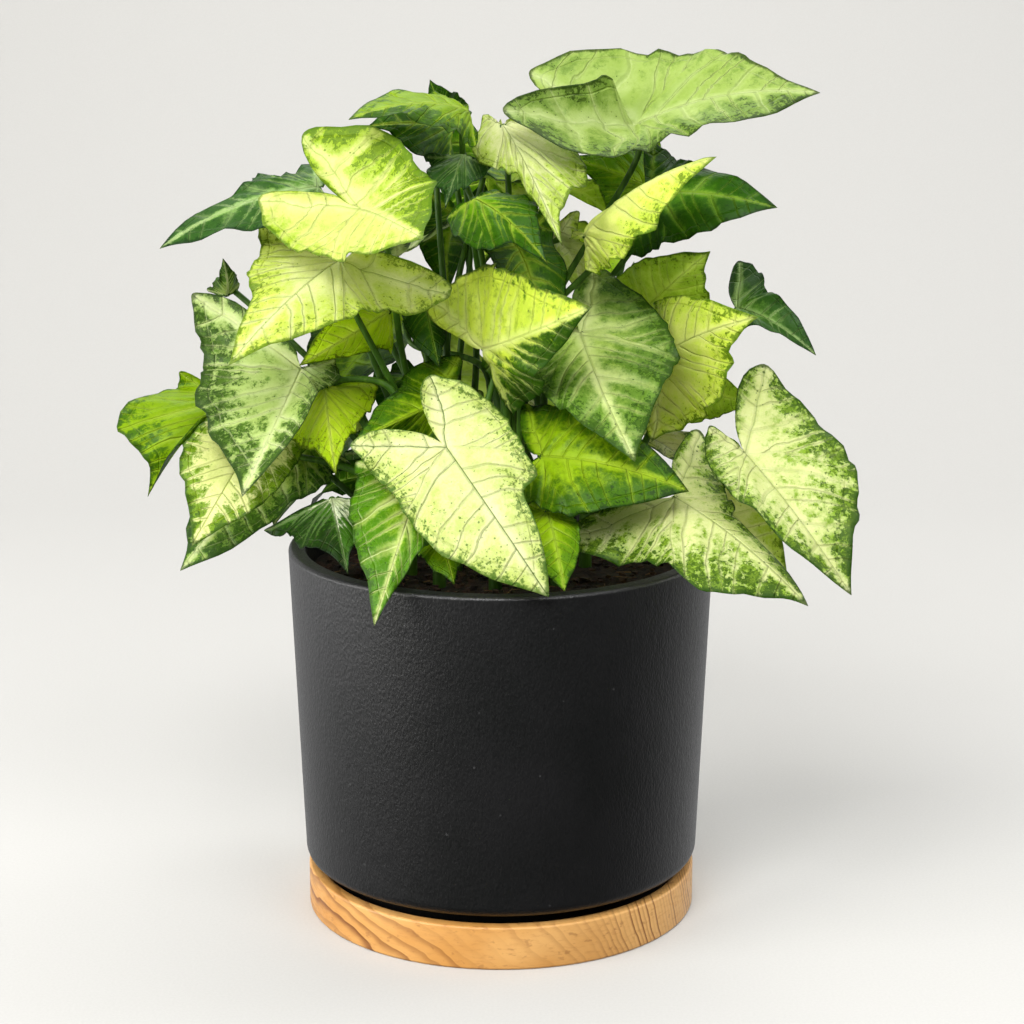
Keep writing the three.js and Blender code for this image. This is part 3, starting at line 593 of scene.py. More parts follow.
def make_blade(leaf, angles=RAYS, rings=RINGS):
    """The blade as a closed thin sheet, with flat coordinates for its colours."""
    rows = []
    for half, sign in ((leaf["left"], 1), (leaf["right"], -1)):
        aim, scale = ray(angles, leaf["tip"], half["side"], half["lobe"])
        turn = np.radians(angles)[:, None]
        phase = leaf["phase"] * sign
        scallop = np.sin(turn * 13 + 3 * phase) + np.sin(turn * 23 - 2 * phase)
        scallop = SCALLOP * (scallop - 2) / 2 * np.minimum(1, angles / 12)[:, None]
        reach = outline_reach(angles, half)[:, None] * rings * (1 + scallop * rings ** 3)
        along, across = reach * np.cos(turn), reach * np.sin(turn)
        lift = blade_lift(leaf, half, angles, rings, along, across, sign)
        points = leaf["joint"] + aim[:, None, :] * (reach * scale[:, None])[..., None]
        rows.append((points + leaf["up"] * lift[..., None], along, across * sign))
    left, right = rows
    grid, along, across = [np.concatenate([a[::-1], b[1:]]) for a, b in zip(left, right)]
    n_rays, n_rings = along.shape

    middle = np.vstack([leaf["joint"][None], grid.reshape(-1, 3)])
    spot = np.arange(n_rays * n_rings).reshape(n_rays, n_rings) + 1
    quads = np.stack([spot[:-1, :-1], spot[1:, :-1], spot[1:, 1:], spot[:-1, 1:]], -1).reshape(-1, 4)
    fans = np.stack([np.zeros(n_rays - 1, int), spot[1:, 0], spot[:-1, 0]], -1)
    normals = np.zeros_like(middle)
    for corners in (quads, fans):
        first, second, third = (middle[corners[:, i]] for i in range(3))
        slope = np.cross(second - first, third - first)
        for column in corners.T:
            np.add.at(normals, column, slope)
    normals /= np.linalg.norm(normals, axis=1)[:, None] + 1e-9

    flat_along = np.concatenate([[0], along.ravel()])
    flat_across = np.concatenate([[0], across.ravel()])
    ring = np.concatenate([[0], np.tile(rings, n_rays)])
    thick = BLADE_THICKNESS / 2 + (EDGE_THICKNESS - BLADE_THICKNESS) / 2 * ring ** 5
    out = flat_along * LOBE_COS + np.abs(flat_across) * LOBE_SIN
    off = np.abs(flat_across) * LOBE_COS - flat_along * LOBE_SIN
    rib = np.exp(-(flat_across / RIB_WIDTH) ** 2) * np.clip(1 - flat_along, 0, 1) * (flat_along > -0.01)
    lobe_rib = np.exp(-(off / RIB_WIDTH) ** 2) * np.clip(1 - out / LOBE_REACH, 0, 1) * (out > 0)
    rib = np.maximum(rib, LOBE_RIB_SHARE * lobe_rib)
    middle = np.clip(middle, *BLADE_ROOM)
    upper = middle + normals * (thick - RIB_GROOVE * rib)[:, None]
    lower = middle - normals * (thick + RIB_HEIGHT * rib)[:, None]

    count = len(middle)
    faces = [tuple(face) for part in (fans.tolist(), quads.tolist()) for face in part]
    below = [tuple(v + count for v in reversed(face)) for face in faces]
    rim = [0, *spot[-1].tolist(), *spot[-2::-1, -1].tolist(), *spot[0, -2::-1].tolist()]
    edge_faces = [(b, a, a + count, b + count) for a, b in zip(rim, rim[1:] + rim[:1])]
    points = np.vstack([upper, lower]) * MM
    piece = mesh_piece(leaf["name"] + "_blade", points, faces + below + edge_faces, FINISHES[leaf["skin"]])
    mesh = piece.data

    flat = np.column_stack([flat_across, flat_along])
    flat = np.vstack([flat, flat])
    loops = np.zeros(len(mesh.loops), int)
    mesh.loops.foreach_get("vertex_index", loops)
    mesh.uv_layers.new(name="Blade").data.foreach_set("uv", flat[loops].astype(np.float32).ravel())
    page = np.column_stack([(flat[:, 0] + 0.62) * 0.39 + 0.008, (flat[:, 1] + 0.4) * 0.7 + 0.01])
    page[count:, 0] += 0.5
    mesh.uv_layers.new(name="OFBake").data.foreach_set("uv", page[loops].astype(np.float32).ravel())
    mesh.attributes.new("ring", "FLOAT", "POINT").data.foreach_set(
        "value", np.concatenate([ring, ring]).astype(np.float32))
    return piece


# The colours of a blade's heart, rim, streaks along the veins, thin veins and dark specks.
SKIN_COLOURS = ("core", "rim", "vein", "line", "dark")

# Where the rim's green starts and is whole, and where dark specks start, as shares of the way out;
# strength and width of the streaks; strength of the thin veins and of the clouds; how many specks;
# how ragged the rim's green is, and how far it leans to the left half.
SKIN_NUMBERS = ("rim_from", "rim_to", "dark_from", "streak", "streak_width", "line_share", "cloud",
                "speckle", "mottle", "lean")

# How far the pale heart runs out along the veins.
FEATHER = 0.5


def blade_pattern():
    """The colours and relief that every blade shares, with sockets for what differs."""
    tree = bpy.data.node_groups.new("blade_pattern", "ShaderNodeTree")
    face = tree.interface
    for name in SKIN_COLOURS:
        face.new_socket(name, in_out="INPUT", socket_type="NodeSocketColor")
    for name in SKIN_NUMBERS:
        face.new_socket(name, in_out="INPUT", socket_type="NodeSocketFloat")
    face.new_socket("colour", in_out="OUTPUT", socket_type="NodeSocketColor")
    face.new_socket("height", in_out="OUTPUT", socket_type="NodeSocketFloat")
    g = Graph(tree)
    given = tree.nodes.new("NodeGroupInput").outputs
    result = tree.nodes.new("NodeGroupOutput").inputs

    uv = g.node("UVMap", uv_map="Blade").outputs[0]
    parts = g.node("SeparateXYZ", {0: uv})
    signed, x = parts.outputs[0], parts.outputs[1]
    y = g.math("ABSOLUTE", signed)
    sign = g.math("SIGN", signed)
    ring = g.node("Attribute", attribute_name="ring").outputs["Fac"]
    number = g.node("Attribute", attribute_name="number").outputs["Fac"]
    where = g.place()
    fine = g.noise(where, 1100, detail=2, roughness=0.6)
    moss = g.noise(where, 230, detail=5, roughness=0.72)
    flake = g.noise(where, 520, detail=4, roughness=0.75, distortion=0.5)
    broad = g.noise(where, 44, detail=2)
    sway = g.times(g.noise(where, 45, detail=2), 0.12, -0.06)
    sway = g.times(moss, 0.02, g.less(sway, 0.01))
    x = g.add(x, g.times(sway, g.step(y, 0.0, 0.14)))

    # Distances to the nearest side vein, main vein and margin vein, as shares of the midrib.
    ahead = g.less(g.times(y, -0.5, x), g.times(g.times(y, y), 0.75))
    out = g.add(g.times(x, LOBE_COS), g.times(y, LOBE_SIN))
    off = g.math("ABSOLUTE", g.less(g.times(y, LOBE_COS), g.times(x, LOBE_SIN)))
    behind = g.less(g.times(off, -0.6, out), g.times(off, off))
    even = g.node("Mix", {0: g.step(ahead, -0.012, 0.0), 2: g.math("DIVIDE", behind, LOBE_VEIN_SPACING),
                          3: g.math("DIVIDE", ahead, VEIN_SPACING)}).outputs[0]
    start = g.add(number, sign)
    uneven = g.math("SINE", g.times(even, UNEVEN_TURN, start))
    count = g.times(uneven, UNEVEN, even)
    side_vein = g.times(g.math("PINGPONG", count, 0.5), 0.8 * VEIN_SPACING)
    seed = g.node("CombineXYZ", {0: g.math("ROUND", count), 1: sign, 2: number}).outputs[0]
    strength = g.node("TexWhiteNoise", {"Vector": seed}).outputs[0]
    strength = g.times(strength, 0.7, 0.3)
    midrib = g.add(y, g.math("LESS_THAN", x, 0.0))
    lobe_rib = g.add(off, g.math("LESS_THAN", out, 0.0))
    main_vein = g.math("MINIMUM", midrib, lobe_rib)
    margin_vein = g.times(g.math("ABSOLUTE", g.less(ring, MARGIN_VEIN)), 0.4)
    bent = {0: g.times(moss, 0.07, signed), 1: g.times(flake, 0.07, x), 2: number}
    bent = g.node("CombineXYZ", bent).outputs[0]
    cells = g.scatter(bent, 26.0, feature="DISTANCE_TO_EDGE")
    net = g.step(cells, 0.0, 0.2, 1.0, 0.0)

    # The pale heart runs out along the veins, and the green of the rim creeps in between them.
    leaning = g.times(g.step(signed, -0.05, 0.05, -1, 1), given["lean"])
    on_side = g.times(g.step(side_vein, 0.0, 0.036, 1.0, 0.0), strength)
    on_main = g.step(main_vein, 0.0, 0.06, 1.0, 0.0)
    on_vein = g.most(g.most(on_side, on_main), g.times(net, 0.25))
    edge = g.add(g.add(ring, leaning), g.times(broad, 0.5, -0.25))
    edge = g.add(edge, g.times(g.times(moss, 1.9, -0.95), given["mottle"]))
    edge = g.less(edge, g.times(g.less(on_vein, 0.4), FEATHER))
    colour = g.mix(g.step(edge, given["rim_from"], given["rim_to"]), given["core"], given["rim"])
    deep = g.times(flake, 1.8, g.less(edge, 0.9))
    colour = g.mix(g.step(deep, given["dark_from"], g.add(given["dark_from"], 0.16), 0.0, 0.85),
                   colour, given["dark"])

    # Pale streaks along the veins, broad by the midrib and frayed where they run out.
    width = g.times(given["streak_width"], g.times(ring, -0.8, 1.25))
    frayed = g.times(g.add(fine, moss), 0.035, -0.035)
    along_side = g.step(g.add(side_vein, frayed), 0.0, width, 1.0, 0.0)
    along_side = g.times(g.times(along_side, strength), g.step(ring, 0.4, 1.0, 1.0, 0.2))
    along_main = g.step(g.add(main_vein, frayed), 0.0, g.times(width, 1.4), 1.0, 0.0)
    streaks = g.times(g.most(along_side, along_main), given["streak"])
    colour = g.mix(streaks, colour, given["vein"])

    # Soft clouds of the rim's green all over, and dots that crowd towards the margin.
    clouds = g.times(g.step(moss, 0.5, 0.64), g.less(1.0, on_vein))
    colour = g.mix(g.times(clouds, given["cloud"]), colour, given["rim"])
    dot = g.scatter(where, 430, feature="F1")
    outward = g.add(g.times(ring, 0.34, -0.3), g.times(leaning, 0.25))
    crowd = g.times(g.add(moss, outward), 0.55, g.times(given["speckle"], 0.25, -0.2))
    dotted = g.step(g.less(dot, crowd), -0.03, 0.03, 1.0, 0.0)
    colour = g.mix(g.times(dotted, 0.75), colour, given["dark"])

    thin_main = g.step(main_vein, 0.0012, 0.0036, 1.0, 0.0)
    thin_side = g.times(g.step(side_vein, 0.0005, 0.0022, 1.0, 0.0), strength)
    thin_margin = g.times(g.step(margin_vein, 0.001, 0.004, 0.35, 0.0), g.step(moss, 0.45, 0.55))
    thin_cells = g.step(cells, 0.0, 0.05, 0.1, 0.0)
    lines = g.most(g.most(thin_main, thin_side), g.most(thin_margin, thin_cells))
    colour = g.mix(g.times(lines, given["line_share"]), colour, given["line"])
    hem = g.step(g.times(moss, 0.12, ring), 1.01, 1.045)
    colour = g.mix(g.times(hem, 0.8), colour, given["dark"])
    shaded = g.mix(1.0, colour, "#dfe9bc", "MULTIPLY")
    tone = g.times(fine, 0.5, g.noise(where, 75, detail=3, roughness=0.6))
    g.plug(result["colour"], g.mix(g.step(tone, 0.5, 1.0, 0.7, 0.0), colour, shaded))

    sunk = g.times(g.step(side_vein, 0.0, 0.010, 1, 0), -0.9)
    sunk = g.add(sunk, g.times(g.step(main_vein, 0.0, 0.011, 1, 0), -0.7))
    sunk = g.add(sunk, g.times(g.step(margin_vein, 0.0, 0.008, 1, 0), -0.5))
    g.plug(result["height"], g.times(fine, 0.25, sunk))
    return tree


PATTERN = blade_pattern()


def blade_finish(name, colours, glow, *numbers):
    """A blade's skin: soft gloss over a sheet that lets part of the light through."""
    material, g = new_finish(name)
    pattern = g.node("Group", node_tree=PATTERN)
    for key, value in zip(SKIN_COLOURS + SKIN_NUMBERS, [*colours.split(), *numbers]):
        g.plug(pattern.inputs[key], value)
    colour = pattern.outputs["colour"]
    normal = g.bump(pattern.outputs["height"], 0.8, 0.0008)
    gloss = g.noise(g.place(), 220, detail=2)
    g.set("Base Color", colour)
    g.set("Normal", normal)
    g.set("Roughness", g.step(gloss, 0.3, 0.7, 0.36, 0.48))
    g.set("Specular IOR Level", 0.18)
    warm = g.mix(0.25, colour, "#e8e05a", "SOFT_LIGHT")
    g.shine_through(glow, {"Color": warm, "Normal": normal})
    return material


# One row a skin: the tint of its leaves, the colours that SKIN_COLOURS lists, the share of light
# that shines through, and the numbers that SKIN_NUMBERS lists.
SKINS = {
    "cream_veined": ("cream", "#e2e5aa #cddb7c #eef0c4 #4a6a14 #456c18", 0.36,
        0.45, 1.15, 1.0, 0.5, 0.04, 0.85, 0.42, 0.42, 0.7, 0.0),
    "pale_yellow": ("cream", "#e8edaa #d2e160 #eff3ba #7d9a24 #6b8c18", 0.45,
        0.4, 1.1, 1.05, 0.55, 0.04, 0.55, 0.18, 0.3, 0.6, 0.0),
    "cream_mottled": ("cream", "#e4e8ac #9cbe3a #ebefb6 #6d8a26 #2c5208", 0.45,
        0.5, 1.05, 0.86, 0.8, 0.05, 0.45, 0.68, 0.38, 1.0, 0.0),
    "cream_soft": ("cream", "#e8ebb4 #c3d85c #edf1c0 #8ea834 #5f7e18", 0.45,
        0.4, 1.1, 1.1, 0.5, 0.04, 0.6, 0.25, 0.25, 0.7, 0.0),
    "yellow": ("lime", "#dde286 #a8c42c #eef2b0 #8fa62a #587c0d", 0.36,
        0.45, 1.1, 1.0, 0.6, 0.035, 0.5, 0.36, 0.34, 0.55, 0.26),
    "yellow_clear": ("lime", "#e4ea8c #d6e850 #eff3b0 #a8be3c #5f8410", 0.45,
        0.5, 1.2, 1.05, 0.5, 0.03, 0.35, 0.15, 0.15, 0.6, 0.0),
    "yellow_hearted": ("lime", "#eceea8 #7ea01c #eef2ae #b6cc39 #385c09", 0.36,
        0.72, 0.98, 1.1, 0.5, 0.04, 0.5, 0.25, 0.2, 0.7, 0.0),
    "yellow_patched": ("lime", "#d4e44e #507c04 #e9efa0 #dae785 #2c5407", 0.45,
        0.72, 1.0, 1.0, 0.85, 0.05, 0.5, 0.45, 0.2, 0.8, -0.3),
    "lime": ("lime", "#e0f244 #c8e61c #e4f088 #cee05f #536f04", 0.5,
        0.3, 1.1, 1.1, 0.45, 0.035, 0.45, 0.22, 0.16, 0.7, 0.0),
    "lime_capped": ("lime", "#8cae04 #4c7602 #cce05c #bbd249 #34560e", 0.36,
        0.7, 1.0, 1.1, 0.4, 0.03, 0.4, 0.3, 0.2, 0.9, 0.16),
    "green_streaked": ("green", "#bcd080 #64892c #e8eebe #e2eab0 #2c480e", 0.36,
        0.55, 1.08, 0.86, 0.75, 0.04, 0.85, 0.62, 0.25, 1.0, 0.0),
    "green_silvered": ("green", "#b4cc66 #6c9230 #e4ebac #7c9634 #2f5208", 0.36,
        0.2, 0.85, 0.88, 0.75, 0.055, 0.5, 0.5, 0.28, 0.8, 0.0),
    "green_bold": ("green", "#a8ca38 #568c04 #e2e9a0 #e2ebae #33580a", 0.36,
        0.2, 0.9, 1.1, 0.95, 0.042, 0.95, 0.35, 0.25, 0.7, 0.0),
    "green_deep": ("green", "#a6ca0c #467200 #c2dc40 #b9d547 #1c3c02", 0.36,
        0.15, 0.95, 1.1, 0.5, 0.04, 0.34, 0.35, 0.2, 0.8, 0.0),
    "green_mid": ("green", "#a4c810 #6a9a04 #c4de50 #b7d44b #2e5206", 0.36,
        0.3, 1.0, 1.1, 0.5, 0.035, 0.5, 0.3, 0.2, 0.7, 0.0),
    "olive": ("green", "#d8ea74 #b2cf48 #dceb90 #bed35a #4f7212", 0.45,
        0.3, 1.1, 1.1, 0.5, 0.04, 0.45, 0.25, 0.22, 0.8, 0.0),
    "grey_green": ("green", "#a6bd62 #7c9a40 #d3dfa4 #cfdaa0 #2a420a", 0.36,
        0.6, 1.1, 1.1, 0.5, 0.035, 0.4, 0.42, 0.16, 0.7, -0.2),
    "grey_mottled": ("green", "#b4cb62 #64902a #e8edc4 #d2dc9c #2d4f12", 0.36,
        0.3, 1.0, 0.8, 0.7, 0.04, 0.7, 0.6, 0.35, 1.0, 0.0),
    "blotched": ("green", "#dfe6c8 #3c6c10 #e0e8bc #c9d788 #0f2802", 0.36,
        0.15, 0.4, 0.85, 0.2, 0.04, 0.15, 0.5, 0.2, 0.6, -0.3),
    "dark_streaked": ("dark", "#6ea004 #376600 #cade50 #b8d25a #183a00", 0.28,
        0.2, 0.8, 1.1, 0.7, 0.035, 0.34, 0.5, 0.2, 0.9, 0.0),
    "dark_bluish": ("dark", "#649038 #30581a #bcd494 #a5bf75 #12350a", 0.26,
        0.2, 0.8, 1.1, 0.75, 0.035, 0.28, 0.45, 0.2, 0.9, 0.0),
    "dark_plain": ("dark", "#4c7e12 #2a5600 #acc848 #8eb03b #183a00", 0.26,
        0.2, 0.9, 1.1, 0.45, 0.03, 0.32, 0.4, 0.2, 0.8, 0.0),
}
FINISHES = {skin: blade_finish(skin, *look) for skin, (_, *look) in SKINS.items()}

# One row a leaf: number, skin, stem, then the points in mm that pose the blade: stalk joint, tip,
# left side, left lobe, right side, right lobe; the bow of its midrib; and how its halves differ
# from the usual outline, left then right. A None side lies evenly between tip and lobe.
FACING_LEAVES = [
    (1, "cream_veined", "front", (-20, -58, 201), (18, -92, 152), (10, -60, 200), (-26, -42, 227),
     (-36, -68, 178), (-57, -52, 201), 6, dict(taper=(0.22, 0))),
    (2, "green_bold", "front_left", (-29, -42, 188), (-46, -92, 141), (-25, -64, 164), (-10, -32, 178),
     (-58, -58, 173), (-57, -30, 189), 6),
    (3, "green_streaked", "left", (-78, -8, 222), (-97, -58, 182), (-71, -24, 214), (-65, 6, 224),
     (-120, -14, 214), (-122, 4, 252), 6),
    (4, "yellow", "upper_left", (-53, -30, 287), (-27, -90, 283), (-27, -42, 301), (-77, -10, 315),
     (-63, -54, 270), (-95, -20, 290), 4, dict(slim=(-0.1, 0), cut=(0.45, 0.4))),
    (5, "pale_yellow", "upper_left", (-61, -24, 267), (-100, -64, 233), (-55, -50, 246), (-19, -22, 249),
     (-97, -26, 260), (-95, -4, 284), 6,
     dict(slim=(0, 0.12), nip=(0.12, 0), roll=(10, 0), cut=(-0.5, -0.3))),
    (6, "dark_bluish", "upper_left", (-71, 2, 292), (-130, -22, 271), (-82, -26, 274), (-63, -20, 282),
     (-95, 10, 292), (-74, 28, 300), 5, dict(slim=(0.1, 0.25))),
    (7, "grey_mottled", "left", (-109, 14, 248), (-109, 4, 264), None, (-117, 16, 249), None,
     (-104, 22, 250), 3),
    (8, "lime_capped", "left", (-108, 10, 208), (-139, -14, 172), (-123, -12, 190), (-111, 4, 191),
     (-152, 0, 199), (-130, 18, 216), 12),
    (9, "yellow_hearted", "left", (-96, -18, 196), (-118, -46, 160), (-85, -30, 179), (-74, -10, 194),
     (-125, -26, 191), (-110, -10, 213), 6),
    (10, "grey_mottled", "left", (-80, 2, 192), (-125, -30, 146), (-72, -14, 173), (-60, 8, 181),
     (-116, 0, 179), (-102, 26, 194), 3, dict(slim=(0.12, -0.1))),
    (11, "blotched", "front_left", (-65, -34, 176), (-57, -66, 154), (-49, -52, 162), (-43, -36, 173),
     (-77, -54, 161), (-92, -40, 164), 4),
    (12, "lime", "left", (-69, -6, 214), (-63, -38, 186), (-54, -18, 200), (-48, 4, 213), (-81, -18, 193),
     (-87, 2, 207), 5),
    (13, "green_deep", "front_left", (-24, -10, 209), (-56, -40, 199), (-42, -24, 191), (-22, -18, 190),
     (-42, -12, 214), (-17, 8, 225), 6),
    (14, "yellow_patched", "front", (-7, -22, 232), (33, -86, 258), (1, -34, 269), (-30, -4, 249),
     (20, -48, 222), (4, -22, 204), 7, dict(slim=(0, 0.1))),
    (15, "green_silvered", "front_right", (31, -14, 237), (50, -70, 198), (70, -28, 231), (38, 10, 261),
     (17, -38, 215), (20, 0, 241), 7),
    (16, "yellow_clear", "right", (61, 2, 222), (97, -44, 248), (67, -2, 248), (53, 20, 240),
     (89, -30, 213), (61, -12, 193), 7),
    (17, "olive", "right", (58, 18, 242), (81, -14, 269), (55, 12, 263), (41, 26, 250), (86, 2, 245),
     (66, 14, 226), 5),
    (18, "dark_bluish", "right", (94, 12, 243), (123, -12, 228), (106, 8, 249), (96, 30, 261),
     (97, -2, 236), (79, 6, 235), 5, dict(slim=(0.1, 0))),
    (19, "cream_mottled", "front_right", (94, -36, 194), (131, -74, 148), (136, -38, 189),
     (102, -14, 226), (86, -60, 182), (80, -28, 203), 6, dict(nip=(0.04, 0), slim=(0, 0.15))),
    (20, "cream_mottled", "front_right", (67, -42, 178), (114, -82, 146), (90, -36, 171), (79, -10, 198),
     (62, -70, 155), (22, -44, 161), 6, dict(slim=(0.3, -0.14))),
    (21, "cream_soft", "front_right", (79, -6, 177), (111, -40, 146), None, (86, 8, 196), None,
     (59, -6, 161), 6, dict(slim=(0.15, 0))),
    (22, "green_deep", "front", (16, -46, 195), (71, -58, 184), (35, -30, 212), (10, -17, 212),
     (23, -62, 174), (3, -52, 180), 5, dict(slim=(0.25, 0))),
    (23, "green_mid", "front", (18, -53, 175), (24, -80, 151), None, (28, -46, 177), None, (9, -46, 177),
     4),
    (24, "green_mid", "front_left", (-23, -55, 164), (-17, -74, 152), None, (-13, -50, 165), None,
     (-33, -50, 164), 4),
    (25, "grey_green", "centre", (52, 0, 316), (122, -10, 329), (81, 14, 342), (10, 14, 339),
     (63, -24, 309), (0, -22, 320), 6,
     dict(nip=(0.12, 0), roll=(0, 20), slim=(0.04, 0), cut=(0.15, 0.5))),
    (26, "yellow_clear", "centre", (32, -20, 276), (79, -58, 309), (42, -12, 280), (29, 4, 274),
     (50, -42, 270), (34, -26, 262), 6, dict(slim=(0, -0.1))),
    (27, "dark_plain", "right", (58, 4, 289), (105, -26, 287), (75, 8, 300), (61, 24, 308),
     (68, -16, 270), (48, 0, 263), 6, dict(slim=(0.15, 0))),
    (28, "green_mid", "centre", (62, 34, 288), (26, 22, 302), None, (40, 29, 269), None, (64, 44, 307),
     4),
    (29, "cream_soft", "centre", (1, 0, 316), (23, -54, 276), (34, -26, 294), (20, 8, 321), (4, -22, 297),
     (-7, 12, 320), 6),
    (30, "lime_capped", "centre", (-12, -8, 322), (-56, -40, 321), (-22, -32, 314), (-9, -24, 310),
     (-28, 2, 325), (-17, 6, 325), 5),
    (31, "dark_streaked", "back_left", (-19, 14, 313), (-51, -8, 316), (-34, -6, 303), (-20, 6, 300),
     None, (-15, 26, 322), 4),
    (32, "dark_plain", "back_left", (-23, 36, 319), (-28, 26, 332), None, (-34, 40, 318), None,
     (-13, 42, 321), 3),
    (33, "dark_streaked", "centre", (-10, -22, 290), (18, -47, 268), (14, -30, 287), (0, -8, 293),
     (-6, -44, 271), (-21, -18, 283), 5),
    (34, "dark_bluish", "centre", (-14, -2, 305), (-21, -22, 286), (-12, -14, 292), (-3, -4, 300),
     (-29, -14, 295), (-29, -4, 304), 4),
    (35, "dark_plain", "upper_left", (-30, 14, 246), (-24, -6, 222), None, (-18, 16, 246), None,
     (-42, 20, 246), 4),
    (36, "lime", "upper_left", (-44, 4, 243), (-78, -18, 225), None, (-43, 8, 225), None, (-51, 14, 256),
     5),
    (37, "olive", "right", (81, 20, 209), (101, -6, 208), None, (77, 24, 223), None, (77, 20, 194), 4),
]

# The leaves of the far side lean out evenly from the middle of the plant. Number, skin, stem,
# then azimuth, reach and height of the joint, droop of the blade, its roll and its length.
FAR_LEAVES = [
    (38, "olive", "back_right", 90, 56, 205, 42, 4, 80),
    (39, "yellow_clear", "back_right", 48, 74, 224, 38, -8, 66),
    (40, "green_deep", "back_left", 130, 62, 232, 38, 8, 74),
    (41, "cream_veined", "back_right", 26, 64, 190, 46, -6, 62),
    (42, "green_bold", "back_left", 148, 70, 188, 46, 6, 64),
    (43, "lime", "back_right", 64, 44, 266, 22, 6, 64),
    (44, "green_streaked", "back_left", 148, 50, 262, 26, -6, 58),
    (45, "dark_streaked", "back_right", 78, 24, 292, 10, 4, 50),
    (46, "cream_mottled", "back_right", 58, 60, 184, 40, 4, 60),
    (47, "green_bold", "back_left", 124, 60, 184, 40, -4, 60),
]

# Smaller leaves inside the plant grow in one piece with their stem.
INNER_LEAVES = [
    (48, "dark_streaked", "back_left", 110, 52, 275, 70, -10, 34),
    (49, "dark_streaked", "centre", -65, 16, 270, 70, -10, 42),
    (50, "dark_streaked", "back_left", 95, 60, 300, 60, 10, 58),
    (51, "dark_plain", "back_left", 150, 60, 170, 30, -20, 38),
    (52, "olive", "centre", 25, 16, 290, 20, -20, 34),
    (53, "cream_soft", "back_right", 35, 28, 270, 70, -10, 30),
    (54, "dark_plain", "back_left", 130, 56, 210, 40, 10, 30),
]


def angle_between(a, b):
    return math.acos(max(-1.0, min(1.0, float(unit(a) @ unit(b)))))


def even_side(tip, lobe):
    length = (np.linalg.norm(tip) + np.linalg.norm(lobe) / LOBE_REACH) / 2
    turn, spread = SIDE_ANGLE / LOBE_ANGLE, angle_between(tip, lobe)
    aim = unit(tip) * math.sin((1 - turn) * spread) + unit(lobe) * math.sin(turn * spread)
    return unit(aim) * length * LOBE_REACH


def leaf_from(number, skin, stem, joint, tip, left, right, bow):
    """What a blade and its stalk need; all points but the joint are measured from the joint."""
    return dict(name=f"leaf_{number:02d}", number=number, skin=skin, stem="stem_" + stem, joint=joint,
                tip=tip, left=left, right=right, up=unit(np.cross(tip, left["lobe"] - right["lobe"])),
                bow=bow, phase=number * 1.7, climb=6 + (number % 4) * 5)


def facing_leaf(number, skin, stem, joint, tip, left_side, left_lobe, right_side, right_lobe, bow,
                shape=()):
    joint = np.array(joint, float)
    tip = tip - joint

    def half(side, lobe, i):
        side = side - joint if side else even_side(tip, lobe - joint)
        own = {key: pair[i] for key, pair in dict(shape).items()}
        return {**USUAL_HALF, **own, "side": side, "lobe": lobe - joint}

    left, right = half(left_side, left_lobe, 0), half(right_side, right_lobe, 1)
    return leaf_from(number, skin, stem, joint, tip, left, right, bow)


def turn_about(v, axis, angle):
    """v turned by an angle in degrees about a unit axis."""
    c, s = math.cos(math.radians(angle)), math.sin(math.radians(angle))
    return v * c + np.cross(axis, v) * s + axis * (axis @ v) * (1 - c)


def far_leaf(number, skin, stem, azimuth, reach, height, droop, roll, length):
    outward = np.array((math.cos(math.radians(azimuth)), math.sin(math.radians(azimuth)), 0))
    joint = outward * reach + (0, 0, height)
    level = np.array((-outward[1], outward[0], 0))
    ahead = turn_about(outward, level, droop)
    leftward = turn_about(level, ahead, roll)
    up = np.cross(ahead, leftward)

    def at(angle, share, side, lift):
        angle = math.radians(angle)
        flat = ahead * share * math.cos(angle) + leftward * share * math.sin(angle) * side
        return length * (flat + up * lift)

    def half(side):
        return {**USUAL_HALF, "side": at(SIDE_ANGLE, 0.46, side, 0.05), "lobe": at(132, 0.54, side, 0.1)}

    return leaf_from(number, skin, stem, joint, at(0, 1, 0, 0), half(1), half(-1), 6)


outer_leaves = [facing_leaf(*row) for row in FACING_LEAVES] + [far_leaf(*row) for row in FAR_LEAVES]
inner_leaves = [far_leaf(*row) for row in INNER_LEAVES]
leaves = outer_leaves + inner_leaves
for leaf in leaves:
    blade = make_blade(leaf) if leaf in outer_leaves else make_blade(leaf, RAYS[::2], RINGS[1::2])
    blade.data.attributes.new("number", "FLOAT", "POINT").data.foreach_set(
        "value", np.full(len(blade.data.vertices), leaf["number"], np.float32))
    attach(blade, "root")
    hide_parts(leaf["name"] if leaf in outer_leaves else leaf["stem"])

# ------------------------------------------------------------
# Stems and stalks: nine short fleshy stems stand in the soil, and each leaf's own stalk leaves
# its stem, bends out under the blade and grows into the midrib at the joint.
STEMS = {
    "stem_front_left": (-24, -24), "stem_left": (-36, -4), "stem_upper_left": (-18, 2),
    "stem_front": (-2, -30), "stem_front_right": (22, -22), "stem_right": (34, 4),
    "stem_centre": (6, -6), "stem_back_left": (-20, 28), "stem_back_right": (18, 28),
}
STEM_RADIUS = 3.0
STEM_TOP_RADIUS = STEM_RADIUS * 0.8
STEM_DEPTH = 28.0
STEM_STEPS = 12
STEM_SIDES = 16
STALK_BEND = 10.0
STALK_STEPS = 36
STALK_SIDES = 12
STALK_SHARES = (0, 0.12, 0.5, 0.93, 1)
STALK_RADII = (2.1, 1.6, 1.25, 1.15, 1.3)

